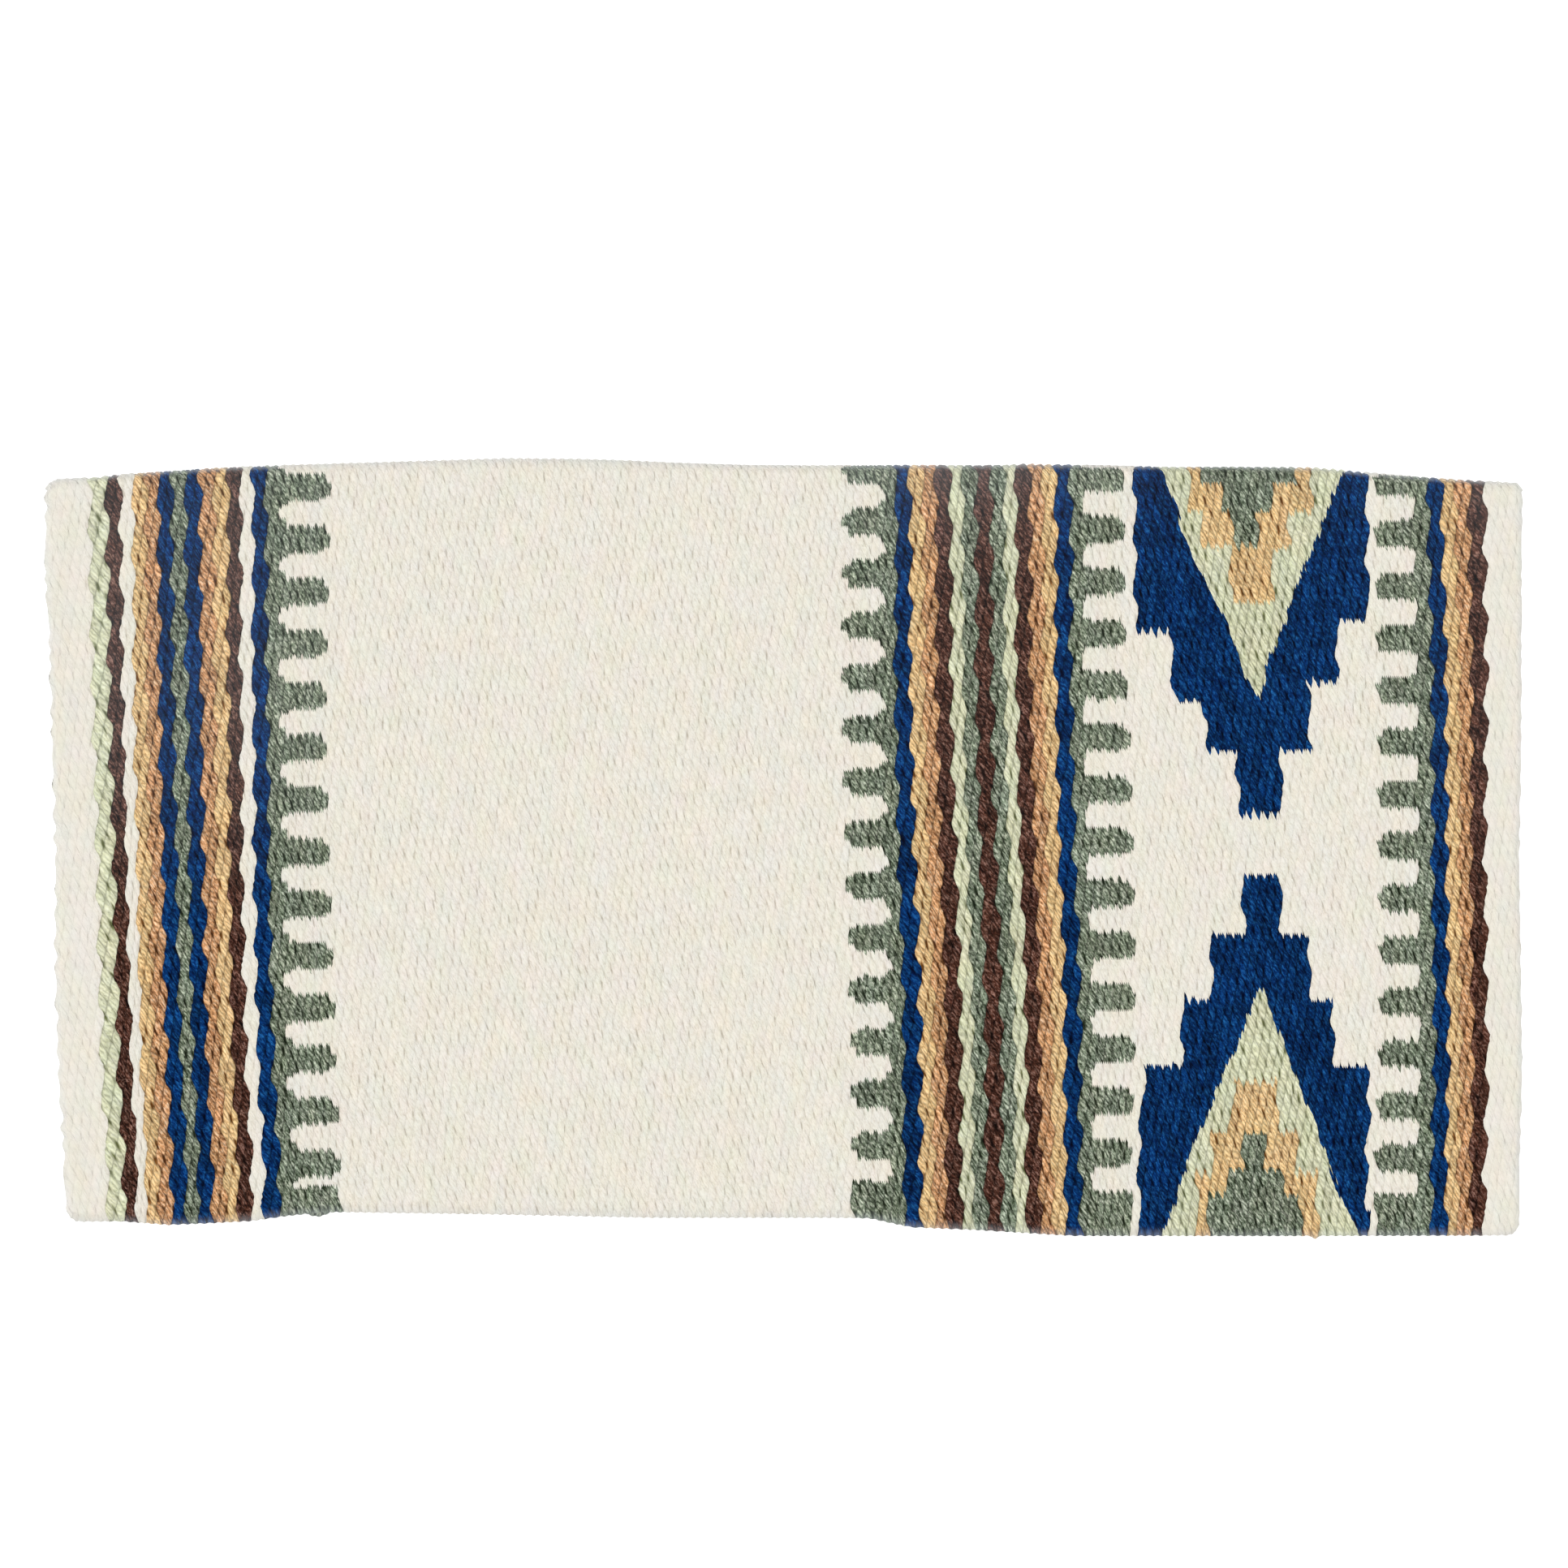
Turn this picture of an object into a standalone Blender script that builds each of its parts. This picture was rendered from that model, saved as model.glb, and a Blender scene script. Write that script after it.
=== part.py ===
"""Folded saddle blanket of thick weft-faced wool, lying flat with its spine fold towards +Y.

Metres, +Z up. X runs from the blanket's left end to its right end, Y from the hems up to the spine
fold. The origin is under the middle of the folded blanket, on the surface that it lies on.
Each band of one yarn, from the fold down to the hem, is a solid of its own. The upper half lies on
the lower half and opens about the crease inside the spine fold.
A place in a table is a share: of BLANKET_LENGTH from the left end, or of FOLDED_DEPTH down from the
outermost point of the fold.
"""

import math

import bmesh
import bpy
import numpy as np

# The blanket
BLANKET_LENGTH = 0.864
FOLDED_DEPTH = 0.4565
LAYER_THICKNESS = 0.008
LAYER_GAP = 0.0003
PIECE_GAP = 0.0003

# The weave, which sets how often a band's edge swings out and back and how often a comb has a tooth
SCALLOP_PITCH = 0.0304
SCALLOP_SWING = 0.0014
END_SWING = 0.0006
TOOTH_HEIGHT = 0.0164

# The lower half is a little smaller, so that the upper half covers it
LOWER_HEM_SETBACK = 0.005
LOWER_END_SETBACK = 0.0015

# The spine fold, a half-round roll
FOLD_ARC_STEPS = 8

SHORTEST_TOOTH = TOOTH_HEIGHT / 4
FOLD_RADIUS = LAYER_THICKNESS + LAYER_GAP / 2
SPINE_Y = FOLDED_DEPTH / 2 - FOLD_RADIUS
LOWER_LOW = 0.0
LOWER_TOP = LAYER_THICKNESS
UPPER_LOW = LAYER_THICKNESS + LAYER_GAP
UPPER_TOP = UPPER_LOW + LAYER_THICKNESS

# How far the outermost point of the fold sits back along the blanket, then how far its crease and
# the hem do
FOLD_DROOP_SHARES = (
    (0.0000, 0.035), (0.0017, 0.032), (0.0070, 0.028), (0.0292, 0.0255), (0.0622, 0.0187),
    (0.1172, 0.0125), (0.1998, 0.0063), (0.3099, 0.0000), (0.3924, 0.0031), (0.4750, 0.0073),
    (0.6676, 0.0063), (0.7501, 0.0104), (0.8602, 0.0125), (0.9152, 0.0219), (0.9703, 0.0292),
    (0.9967, 0.0323), (1.0000, 0.0380),
)
CREASE_DROOP_SHARES = (
    (0.0000, 0.0261), (0.0070, 0.0191), (0.0292, 0.0166), (0.0622, 0.0098), (0.1172, 0.0036),
    (0.1700, 0.0000), (0.7900, 0.0000), (0.8602, 0.0036), (0.9152, 0.0130), (0.9703, 0.0203),
    (0.9967, 0.0234), (1.0000, 0.0291),
)
HEM_RISE_SHARES = (
    (0.0000, 0.0310), (0.0149, 0.0310), (0.0200, 0.0240), (0.0897, 0.0187), (0.1447, 0.0240),
    (0.1998, 0.0292), (0.3649, 0.0281), (0.5300, 0.0250), (0.5575, 0.0219), (0.5850, 0.0104),
    (0.6951, 0.0021), (0.8327, 0.0000), (0.9428, 0.0000), (0.9770, 0.0021), (0.9945, 0.0083),
    (1.0000, 0.0300),
)

# The line between two bands: its place at the fold, its place at the hem, and how far down the
# first swing to the right comes, as a share of SCALLOP_PITCH
SCALLOPED_EDGE_SHARES = {
    "left_end": (0.0000, 0.0149, 0.55),
    "border_mint_1": (0.0292, 0.0413, 0.70),
    "mint_brown_1": (0.0402, 0.0523, 0.15),
    "brown_cream_1": (0.0487, 0.0608, 0.68),
    "cream_tan_1": (0.0572, 0.0664, 0.17),
    "tan_blue_1": (0.0748, 0.0842, 0.10),
    "blue_sage_1": (0.0837, 0.0941, 0.65),
    "sage_blue_1": (0.0930, 0.1021, 0.08),
    "blue_tan_1": (0.1029, 0.1121, 0.70),
    "tan_brown_1": (0.1220, 0.1288, 0.62),
    "brown_cream_2": (0.1304, 0.1381, 0.17),
    "cream_blue_1": (0.1387, 0.1458, 0.67),
    "blue_comb_1": (0.1475, 0.1574, 0.13),
    "comb_blue_2": (0.5748, 0.5823, 0.29),
    "blue_tan_2": (0.5846, 0.5946, 0.86),
    "tan_brown_2": (0.6021, 0.6114, 0.82),
    "brown_mint_1": (0.6120, 0.6219, 0.32),
    "mint_sage_1": (0.6201, 0.6296, 0.87),
    "sage_brown_1": (0.6291, 0.6383, 0.29),
    "brown_sage_1": (0.6395, 0.6494, 0.84),
    "sage_mint_1": (0.6485, 0.6577, 0.33),
    "mint_brown_2": (0.6560, 0.6654, 0.82),
    "brown_tan_1": (0.6659, 0.6751, 0.34),
    "tan_blue_2": (0.6828, 0.6918, 0.39),
    "blue_comb_3": (0.6935, 0.7023, 0.91),
    "comb_blue_4": (0.9378, 0.9406, 0.05),
    "blue_tan_3": (0.9470, 0.9503, 0.54),
    "tan_brown_3": (0.9648, 0.9664, 0.54),
    "brown_border_2": (0.9758, 0.9758, 0.08),
    "right_end": (1.0000, 0.9983, 0.50),
}

# A comb's line: the foot of its teeth at the fold and at the hem, the tip of its teeth at the fold
# and at the hem, and how far down its first tooth's middle comes, as a share of SCALLOP_PITCH
COMB_EDGE_SHARES = {
    "comb_field_1": (0.1607, 0.1701, 0.1915, 0.2003, 0.56),
    "field_comb_2": (0.5669, 0.5751, 0.5399, 0.5476, 0.23),
    "comb_ground_3": (0.7028, 0.7111, 0.7325, 0.7375, 0.33),
    "ground_comb_4": (0.9285, 0.9307, 0.9020, 0.9037, 0.46),
}

# The stepped motif's outlines, from left to right: those that hang from the fold, then those that
# stand on the hem
SPINE_MOTIF_SHARES = {
    "blue": (
        (0.7380, 0.0000), (0.7380, 0.2240), (0.7655, 0.2240), (0.7655, 0.3135), (0.7870, 0.3135),
        (0.7870, 0.3771), (0.8085, 0.3771), (0.8085, 0.4594), (0.8387, 0.4594), (0.8387, 0.3771),
        (0.8558, 0.3771), (0.8558, 0.2958), (0.8767, 0.2958), (0.8767, 0.2104), (0.8949, 0.2104),
        (0.8949, 0.0000),
    ),
    "mint": ((0.7545, 0.0000), (0.8222, 0.3104), (0.8822, 0.0000)),
    "gold": (
        (0.7744, 0.0000), (0.7744, 0.0698), (0.7837, 0.0698), (0.7837, 0.1146), (0.8024, 0.1146),
        (0.8024, 0.1865), (0.8316, 0.1865), (0.8316, 0.1167), (0.8437, 0.1167), (0.8437, 0.0698),
        (0.8602, 0.0698), (0.8602, 0.0000),
    ),
    "sage": (
        (0.7810, 0.0000), (0.7810, 0.0344), (0.7958, 0.0344), (0.7958, 0.0698), (0.8060, 0.0698),
        (0.8060, 0.1060), (0.8233, 0.1060), (0.8233, 0.0698), (0.8321, 0.0698), (0.8321, 0.0344),
        (0.8503, 0.0344), (0.8503, 0.0000),
    ),
}
HEM_MOTIF_SHARES = {
    "blue": (
        (0.7391, 1.0000), (0.7435, 0.7802), (0.7694, 0.7802), (0.7694, 0.6958), (0.7887, 0.6958),
        (0.7887, 0.6125), (0.8129, 0.6125), (0.8129, 0.5354), (0.8376, 0.5354), (0.8376, 0.6125),
        (0.8580, 0.6125), (0.8580, 0.6958), (0.8767, 0.6958), (0.8767, 0.7802), (0.8965, 0.7802),
        (0.8976, 1.0000),
    ),
    "mint": ((0.7573, 1.0000), (0.8233, 0.6813), (0.8877, 1.0000)),
    "gold": (
        (0.7799, 1.0000), (0.7799, 0.9187), (0.7898, 0.9187), (0.7898, 0.8656), (0.8046, 0.8656),
        (0.8046, 0.8010), (0.8349, 0.8010), (0.8349, 0.8646), (0.8481, 0.8646), (0.8481, 0.9187),
        (0.8619, 0.9187), (0.8619, 1.0000),
    ),
    "sage": (
        (0.7876, 1.0000), (0.7876, 0.9458), (0.7991, 0.9458), (0.7991, 0.9135), (0.8118, 0.9135),
        (0.8118, 0.8750), (0.8272, 0.8750), (0.8272, 0.9135), (0.8371, 0.9135), (0.8371, 0.9458),
        (0.8503, 0.9458), (0.8503, 1.0000),
    ),
}

# Each band of the upper half: its name, its yarn, and the lines on its left and right
UPPER_BANDS = (
    ("upper_cream_border_1", "cream", "left_end", "border_mint_1"),
    ("upper_mint_stripe_1", "mint", "border_mint_1", "mint_brown_1"),
    ("upper_brown_stripe_1", "brown", "mint_brown_1", "brown_cream_1"),
    ("upper_cream_stripe_1", "cream", "brown_cream_1", "cream_tan_1"),
    ("upper_tan_stripe_1", "tan", "cream_tan_1", "tan_blue_1"),
    ("upper_blue_stripe_1", "blue", "tan_blue_1", "blue_sage_1"),
    ("upper_sage_stripe_1", "sage", "blue_sage_1", "sage_blue_1"),
    ("upper_blue_stripe_2", "blue", "sage_blue_1", "blue_tan_1"),
    ("upper_tan_stripe_2", "tan", "blue_tan_1", "tan_brown_1"),
    ("upper_brown_stripe_2", "brown", "tan_brown_1", "brown_cream_2"),
    ("upper_cream_stripe_2", "cream", "brown_cream_2", "cream_blue_1"),
    ("upper_blue_stripe_3", "blue", "cream_blue_1", "blue_comb_1"),
    ("upper_sage_comb_1", "sage", "blue_comb_1", "comb_field_1"),
    ("upper_cream_field", "cream", "comb_field_1", "field_comb_2"),
    ("upper_sage_comb_2", "sage", "field_comb_2", "comb_blue_2"),
    ("upper_blue_stripe_4", "blue", "comb_blue_2", "blue_tan_2"),
    ("upper_tan_stripe_3", "tan", "blue_tan_2", "tan_brown_2"),
    ("upper_brown_stripe_3", "brown", "tan_brown_2", "brown_mint_1"),
    ("upper_mint_stripe_2", "mint", "brown_mint_1", "mint_sage_1"),
    ("upper_sage_stripe_2", "sage", "mint_sage_1", "sage_brown_1"),
    ("upper_brown_stripe_4", "brown", "sage_brown_1", "brown_sage_1"),
    ("upper_sage_stripe_3", "sage", "brown_sage_1", "sage_mint_1"),
    ("upper_mint_stripe_3", "mint", "sage_mint_1", "mint_brown_2"),
    ("upper_brown_stripe_5", "brown", "mint_brown_2", "brown_tan_1"),
    ("upper_tan_stripe_4", "tan", "brown_tan_1", "tan_blue_2"),
    ("upper_blue_stripe_5", "blue", "tan_blue_2", "blue_comb_3"),
    ("upper_sage_comb_3", "sage", "blue_comb_3", "comb_ground_3"),
    ("upper_sage_comb_4", "sage", "ground_comb_4", "comb_blue_4"),
    ("upper_blue_stripe_6", "blue", "comb_blue_4", "blue_tan_3"),
    ("upper_tan_stripe_5", "tan", "blue_tan_3", "tan_brown_3"),
    ("upper_brown_stripe_6", "brown", "tan_brown_3", "brown_border_2"),
    ("upper_cream_border_2", "cream", "brown_border_2", "right_end"),
)

# The lower half has the same bands, with neighbouring stripes joined
LOWER_BANDS = (
    ("lower_cream_border_1", "cream", "left_end", "border_mint_1"),
    ("lower_edge_stripes", "tan", "border_mint_1", "tan_blue_1"),
    ("lower_blue_stripes", "blue", "tan_blue_1", "blue_tan_1"),
    ("lower_tan_stripe_2", "tan", "blue_tan_1", "tan_brown_1"),
    ("lower_brown_stripes_1", "brown", "tan_brown_1", "blue_comb_1"),
    ("lower_sage_comb_1", "sage", "blue_comb_1", "comb_field_1"),
    ("lower_cream_field", "cream", "comb_field_1", "field_comb_2"),
    ("lower_sage_comb_2", "sage", "field_comb_2", "comb_blue_2"),
    ("lower_tan_stripes_3", "tan", "comb_blue_2", "brown_mint_1"),
    ("lower_mint_stripes", "mint", "brown_mint_1", "mint_brown_2"),
    ("lower_tan_stripes_4", "tan", "mint_brown_2", "blue_comb_3"),
    ("lower_sage_comb_3", "sage", "blue_comb_3", "comb_ground_3"),
    ("lower_sage_comb_4", "sage", "ground_comb_4", "comb_blue_4"),
    ("lower_tan_stripes_5", "tan", "comb_blue_4", "brown_border_2"),
    ("lower_cream_border_2", "cream", "brown_border_2", "right_end"),
)

YARN_COLOURS = {
    "cream": (0.823, 0.783, 0.695, 1.0),
    "mint": (0.617, 0.672, 0.474, 1.0),
    "brown": (0.098, 0.042, 0.030, 1.0),
    "tan": (0.571, 0.352, 0.171, 1.0),
    "gold": (0.625, 0.413, 0.188, 1.0),
    "blue": (0.006, 0.027, 0.102, 1.0),
    "sage": (0.195, 0.227, 0.165, 1.0),
}
WOOL_ROUGHNESS = 0.95
SHARPEST_SMOOTH_DEGREES = 40.0


def clear_scene():
    for item in list(bpy.data.objects):
        bpy.data.objects.remove(item, do_unlink=True)


def across(share):
    return BLANKET_LENGTH * (share - 0.5)


def share_across(x):
    return x / BLANKET_LENGTH + 0.5


def table_value(table, x):
    """The share that a table of (place across, share) gives at x."""
    places, shares = zip(*table)
    return float(np.interp(share_across(x), places, shares))


def droop(x):
    """How far down the outermost point of the fold is."""
    return FOLDED_DEPTH * table_value(FOLD_DROOP_SHARES, x)


def crease(x):
    """How far down a layer starts, at the crease inside the fold."""
    return FOLD_RADIUS + FOLDED_DEPTH * table_value(CREASE_DROOP_SHARES, x)


def hem(x):
    """How far down the upper half's hem is."""
    return FOLDED_DEPTH * (1 - table_value(HEM_RISE_SHARES, x))


def swing(turns):
    """A zigzag between -1 and 1, which is 1 at each whole turn."""
    part = turns % 1
    return abs(4 * part - 2) - 1


def scalloped_edge(name, half):
    """Points from the fold down to the hem along a line that swings out once a pitch each way."""
    at_fold, at_hem, first_share = SCALLOPED_EDGE_SHARES[name]
    reach = END_SWING if name.endswith("_end") else SCALLOP_SWING
    setback = {"left_end": half.end_setback, "right_end": -half.end_setback}.get(name, 0.0)

    def point(down):
        middle = across(at_fold + (at_hem - at_fold) * down / FOLDED_DEPTH) + setback
        return middle + reach * swing(down / SCALLOP_PITCH - first_share), down

    start_x = point(crease(across(at_fold)))[0]
    stop_x = point(half.hem(across(at_hem)))[0]
    start = crease(start_x)
    stop = half.hem(stop_x)
    half_pitch = SCALLOP_PITCH / 2
    first_turn = math.ceil(start / half_pitch - 2 * first_share)
    turns = [(first_turn + n + 2 * first_share) * half_pitch for n in range(int(stop / half_pitch) + 2)]
    inner = [turn for turn in turns if start + half_pitch / 4 < turn < stop - half_pitch / 4]
    return [(start_x, start)] + [point(turn) for turn in inner] + [(stop_x, stop)]


def comb_edge(name, half):
    """Points from the fold down to the hem in and out of a comb's teeth."""
    foot_fold, foot_hem, tip_fold, tip_hem, first_share = COMB_EDGE_SHARES[name]
    start = crease(across(foot_fold))
    stop = half.hem(across(foot_hem))

    def place(at_fold, at_hem, down):
        return across(at_fold + (at_hem - at_fold) * down / FOLDED_DEPTH), down

    points = []
    count = int((stop - start) / SCALLOP_PITCH) + 2
    for tooth in range(count):
        middle = (first_share + tooth) * SCALLOP_PITCH
        low = max(start, middle - TOOTH_HEIGHT / 2)
        high = middle + TOOTH_HEIGHT / 2
        if high + SCALLOP_PITCH / 2 > stop:
            high = stop
        if low > stop - SHORTEST_TOOTH or high - low < SHORTEST_TOOTH:
            break
        if low > start:
            points += [place(foot_fold, foot_hem, low)]
        points += [place(tip_fold, tip_hem, low), place(tip_fold, tip_hem, high)]
        if high < stop:
            points += [place(foot_fold, foot_hem, high)]
    if points[0][1] > start:
        points.insert(0, place(foot_fold, foot_hem, start))
    if points[-1][1] < stop:
        points.append(place(foot_fold, foot_hem, stop))
    points[0] = (points[0][0], crease(points[0][0]))
    points[-1] = (points[-1][0], half.hem(points[-1][0]))
    return points


def edge_points(name, half):
    return comb_edge(name, half) if name in COMB_EDGE_SHARES else scalloped_edge(name, half)


def motif_outline(shares, half):
    """A motif's open outline, with its two ends on the fold's crease or on the hem."""
    points = [(across(x), FOLDED_DEPTH * down) for x, down in shares]
    limit = half.hem if shares[0][1] > 0.5 else crease
    for end in (0, -1):
        points[end] = (points[end][0], limit(points[end][0]))
    return points


def along(curve, table, start, stop, bay=()):
    """The curve's own knots between two places across, with the points of a bay let in between."""
    knots = [across(share) for share, _ in table]
    knots = knots if start < stop else knots[::-1]

    def between(first, last):
        low, high = sorted((first, last))
        return [(x, curve(x)) for x in knots if low + PIECE_GAP < x < high - PIECE_GAP]

    if not bay:
        return between(start, stop)
    return between(start, bay[0][0]) + list(bay) + between(bay[-1][0], stop)


def area(points):
    turned = points[1:] + points[:1]
    return sum(a[0] * b[1] - b[0] * a[1] for a, b in zip(points, turned)) / 2


def inset(points, distance):
    """The outline drawn in by a distance all round. It runs anticlockwise."""
    moved = []
    for index, (x, y) in enumerate(points):
        before = points[index - 1]
        after = points[(index + 1) % len(points)]
        first = (before[1] - y, x - before[0])
        second = (y - after[1], after[0] - x)
        first = np.array(first) / math.hypot(*first)
        second = np.array(second) / math.hypot(*second)
        shift = (first + second) / (1 + first @ second) * distance
        moved.append((x + shift[0], y + shift[1]))
    return moved


def material(yarn):
    """The yarn's colour and roughness. Each piece has its own."""
    made = bpy.data.materials.new(yarn + "_wool")
    made.use_nodes = True
    shader = made.node_tree.nodes["Principled BSDF"]
    shader.inputs["Base Color"].default_value = YARN_COLOURS[yarn]
    shader.inputs["Roughness"].default_value = WOOL_ROUGHNESS
    shader.inputs["Metallic"].default_value = 0.0
    made.diffuse_color = YARN_COLOURS[yarn]
    return made


def add_object(name, shape, yarn, parent):
    bmesh.ops.recalc_face_normals(shape, faces=shape.faces)
    mesh = bpy.data.meshes.new(name)
    shape.to_mesh(mesh)
    shape.free()
    mesh.materials.append(material(yarn))
    item = bpy.data.objects.new(name, mesh)
    bpy.context.scene.collection.objects.link(item)
    item.parent = parent
    return item


def slab(name, yarn, outline, half):
    """A flat piece of weave: its outline, in places across and down, given the layer's thickness."""
    flat = [(x, FOLDED_DEPTH / 2 - down) for x, down in outline]
    if area(flat) < 0:
        flat.reverse()
    flat = inset(flat, PIECE_GAP / 2)
    shape = bmesh.new()
    rings = []
    for height in (half.low, half.top):
        ring = [shape.verts.new((x, y - SPINE_Y, height - FOLD_RADIUS)) for x, y in flat]
        rings.append(ring)
    bottom, top = rings
    shape.faces.new(bottom[::-1])
    shape.faces.new(top)
    for index in range(len(flat)):
        after = (index + 1) % len(flat)
        shape.faces.new((bottom[index], bottom[after], top[after], top[index]))
    return add_object(name, shape, yarn, half.holder)


class Half:
    """One layer of the folded blanket: its heights, its setbacks and what its pieces hang on."""

    def __init__(self, holder_name, low, top, hem_setback, end_setback):
        self.low = low
        self.top = top
        self.hem_setback = hem_setback
        self.end_setback = end_setback
        self.holder = bpy.data.objects.new(holder_name, None)
        self.holder.location = (0.0, SPINE_Y, FOLD_RADIUS)
        bpy.context.scene.collection.objects.link(self.holder)

    def hem(self, x):
        return hem(x) - self.hem_setback


def band_outline(left, right, half, fold_bay=(), hem_bay=()):
    """Down the left line, along the hem, up the right line and back along the crease."""
    down = edge_points(left, half)
    up = edge_points(right, half)[::-1]
    bottom = along(half.hem, HEM_RISE_SHARES, down[-1][0], up[0][0], hem_bay)
    top = along(crease, CREASE_DROOP_SHARES, up[-1][0], down[0][0], fold_bay[::-1])
    return down + bottom + up + top


def motif_piece(outline, inner, half, at_hem):
    """A motif's outline closed along the crease or the hem, with the next motif's place left open."""
    curve, table = (half.hem, HEM_RISE_SHARES) if at_hem else (crease, CREASE_DROOP_SHARES)
    return outline + along(curve, table, outline[-1][0], outline[0][0], inner[::-1])


def make_bands(bands, half):
    for name, yarn, left, right in bands:
        slab(name, yarn, band_outline(left, right, half), half)


def motif_outlines(shares_by_yarn, half):
    return {yarn: motif_outline(shares, half) for yarn, shares in shares_by_yarn.items()}


def make_ground(name, half):
    """The cream ground of the stepped motifs, which come into it from the fold and from the hem."""
    at_fold = motif_outline(SPINE_MOTIF_SHARES["blue"], half)
    at_hem = motif_outline(HEM_MOTIF_SHARES["blue"], half)
    slab(name, "cream", band_outline("comb_ground_3", "ground_comb_4", half, at_fold, at_hem), half)


def make_motif(prefix, shares_by_yarn, half, at_hem):
    """The nested pieces of one motif, from the blue steps in to the sage heart."""
    outlines = motif_outlines(shares_by_yarn, half)
    yarns = list(outlines)
    for yarn, inner in zip(yarns, yarns[1:] + [None]):
        bay = outlines[inner] if inner else ()
        slab(f"{prefix}_{yarn}", yarn, motif_piece(outlines[yarn], bay, half, at_hem), half)


def make_whole_motif(name, shares_by_yarn, half, at_hem):
    outline = motif_outline(shares_by_yarn["blue"], half)
    slab(name, "blue", motif_piece(outline, (), half, at_hem), half)


def make_spine_roll(half):
    """The fold itself: a half-round roll beyond the crease, flatter and set back at its ends."""
    knots = sorted({share for share, _ in FOLD_DROOP_SHARES[1:-1] + CREASE_DROOP_SHARES[1:-1]})
    inner = [across(share) for share in knots]
    first = across(0.0) + half.end_setback
    last = across(1.0) - half.end_setback
    places = [first, *(x for x in inner if first < x < last), last]
    shape = bmesh.new()
    rings = []
    for x in places:
        flat_side = crease(x) - PIECE_GAP / 2
        bulge = flat_side - droop(x)
        ring = []
        for step in range(FOLD_ARC_STEPS + 1):
            angle = math.pi * (step / FOLD_ARC_STEPS - 0.5)
            beyond = FOLD_RADIUS - flat_side + bulge * math.cos(angle)
            ring.append(shape.verts.new((x, beyond, FOLD_RADIUS * math.sin(angle))))
        rings.append(ring)
    for ring, following in zip(rings, rings[1:]):
        for step in range(FOLD_ARC_STEPS + 1):
            after = (step + 1) % (FOLD_ARC_STEPS + 1)
            shape.faces.new((ring[step], ring[after], following[after], following[step]))
    shape.faces.new(rings[0][::-1])
    shape.faces.new(rings[-1])
    item = add_object("spine_roll", shape, "cream", half.holder)
    item.data.shade_smooth()
    item.data.set_sharp_from_angle(angle=math.radians(SHARPEST_SMOOTH_DEGREES))


def main():
    clear_scene()
    lower = Half("lower_half", LOWER_LOW, LOWER_TOP, LOWER_HEM_SETBACK, LOWER_END_SETBACK)
    upper = Half("spine_hinge", UPPER_LOW, UPPER_TOP, 0.0, 0.0)
    make_bands(UPPER_BANDS, upper)
    make_ground("upper_motif_ground", upper)
    make_motif("upper_spine_motif", SPINE_MOTIF_SHARES, upper, at_hem=False)
    make_motif("upper_hem_motif", HEM_MOTIF_SHARES, upper, at_hem=True)
    make_bands(LOWER_BANDS, lower)
    make_ground("lower_motif_ground", lower)
    make_whole_motif("lower_spine_motif", SPINE_MOTIF_SHARES, lower, at_hem=False)
    make_whole_motif("lower_hem_motif", HEM_MOTIF_SHARES, lower, at_hem=True)
    make_spine_roll(lower)


main()
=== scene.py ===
"""Looks of the folded saddle blanket: thick wool weave, spine fold towards +Y, hems towards -Y.

The weave is made stitch by stitch. A cord is a thread that runs along X inside the blanket, and a
pick is one pass of yarn across the cords, from one hem over the fold to the other hem. A pick
floats over two cords as a long pointed stitch, then dives under two, and each pick does so one cord
further on than its neighbour. Places on the cloth are counted in picks from the left end and in
cords from the fold. Places in the tables are shares of the blanket's length and folded depth.
"""

import math

import bpy
import numpy as np
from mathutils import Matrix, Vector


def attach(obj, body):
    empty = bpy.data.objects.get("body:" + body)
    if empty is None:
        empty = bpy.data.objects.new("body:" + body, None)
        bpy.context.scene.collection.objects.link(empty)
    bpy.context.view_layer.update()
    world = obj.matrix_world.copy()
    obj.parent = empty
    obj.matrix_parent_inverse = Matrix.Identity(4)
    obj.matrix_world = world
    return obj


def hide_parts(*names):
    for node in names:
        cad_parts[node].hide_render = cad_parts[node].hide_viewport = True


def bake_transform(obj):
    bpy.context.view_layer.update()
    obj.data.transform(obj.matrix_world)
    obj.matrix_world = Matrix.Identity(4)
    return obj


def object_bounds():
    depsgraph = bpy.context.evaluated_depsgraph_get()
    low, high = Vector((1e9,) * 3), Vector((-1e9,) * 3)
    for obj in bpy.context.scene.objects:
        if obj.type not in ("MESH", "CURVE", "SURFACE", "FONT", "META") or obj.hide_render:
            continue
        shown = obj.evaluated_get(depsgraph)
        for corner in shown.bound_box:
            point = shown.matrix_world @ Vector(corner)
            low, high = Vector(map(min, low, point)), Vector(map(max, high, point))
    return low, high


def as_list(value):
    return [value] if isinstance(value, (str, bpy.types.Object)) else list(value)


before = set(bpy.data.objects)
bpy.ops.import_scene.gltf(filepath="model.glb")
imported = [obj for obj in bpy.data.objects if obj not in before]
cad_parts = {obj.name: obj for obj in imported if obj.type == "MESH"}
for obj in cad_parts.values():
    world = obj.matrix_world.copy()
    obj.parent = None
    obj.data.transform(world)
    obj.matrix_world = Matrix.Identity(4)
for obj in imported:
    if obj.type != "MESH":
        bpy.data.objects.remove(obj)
cad_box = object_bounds()

# Sizes of the blanket, from the bounds of the CAD parts
LEFT, HEM_Y, FLOOR_Z = cad_box[0]
RIGHT, FOLD_Y, TOP_Z = cad_box[1]
LENGTH = RIGHT - LEFT
DEPTH = FOLD_Y - HEM_Y
LAYER_GAP = 0.0003
LAYER = (TOP_Z - FLOOR_Z - LAYER_GAP) / 2
FOLD_RADIUS = LAYER + LAYER_GAP / 2

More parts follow.
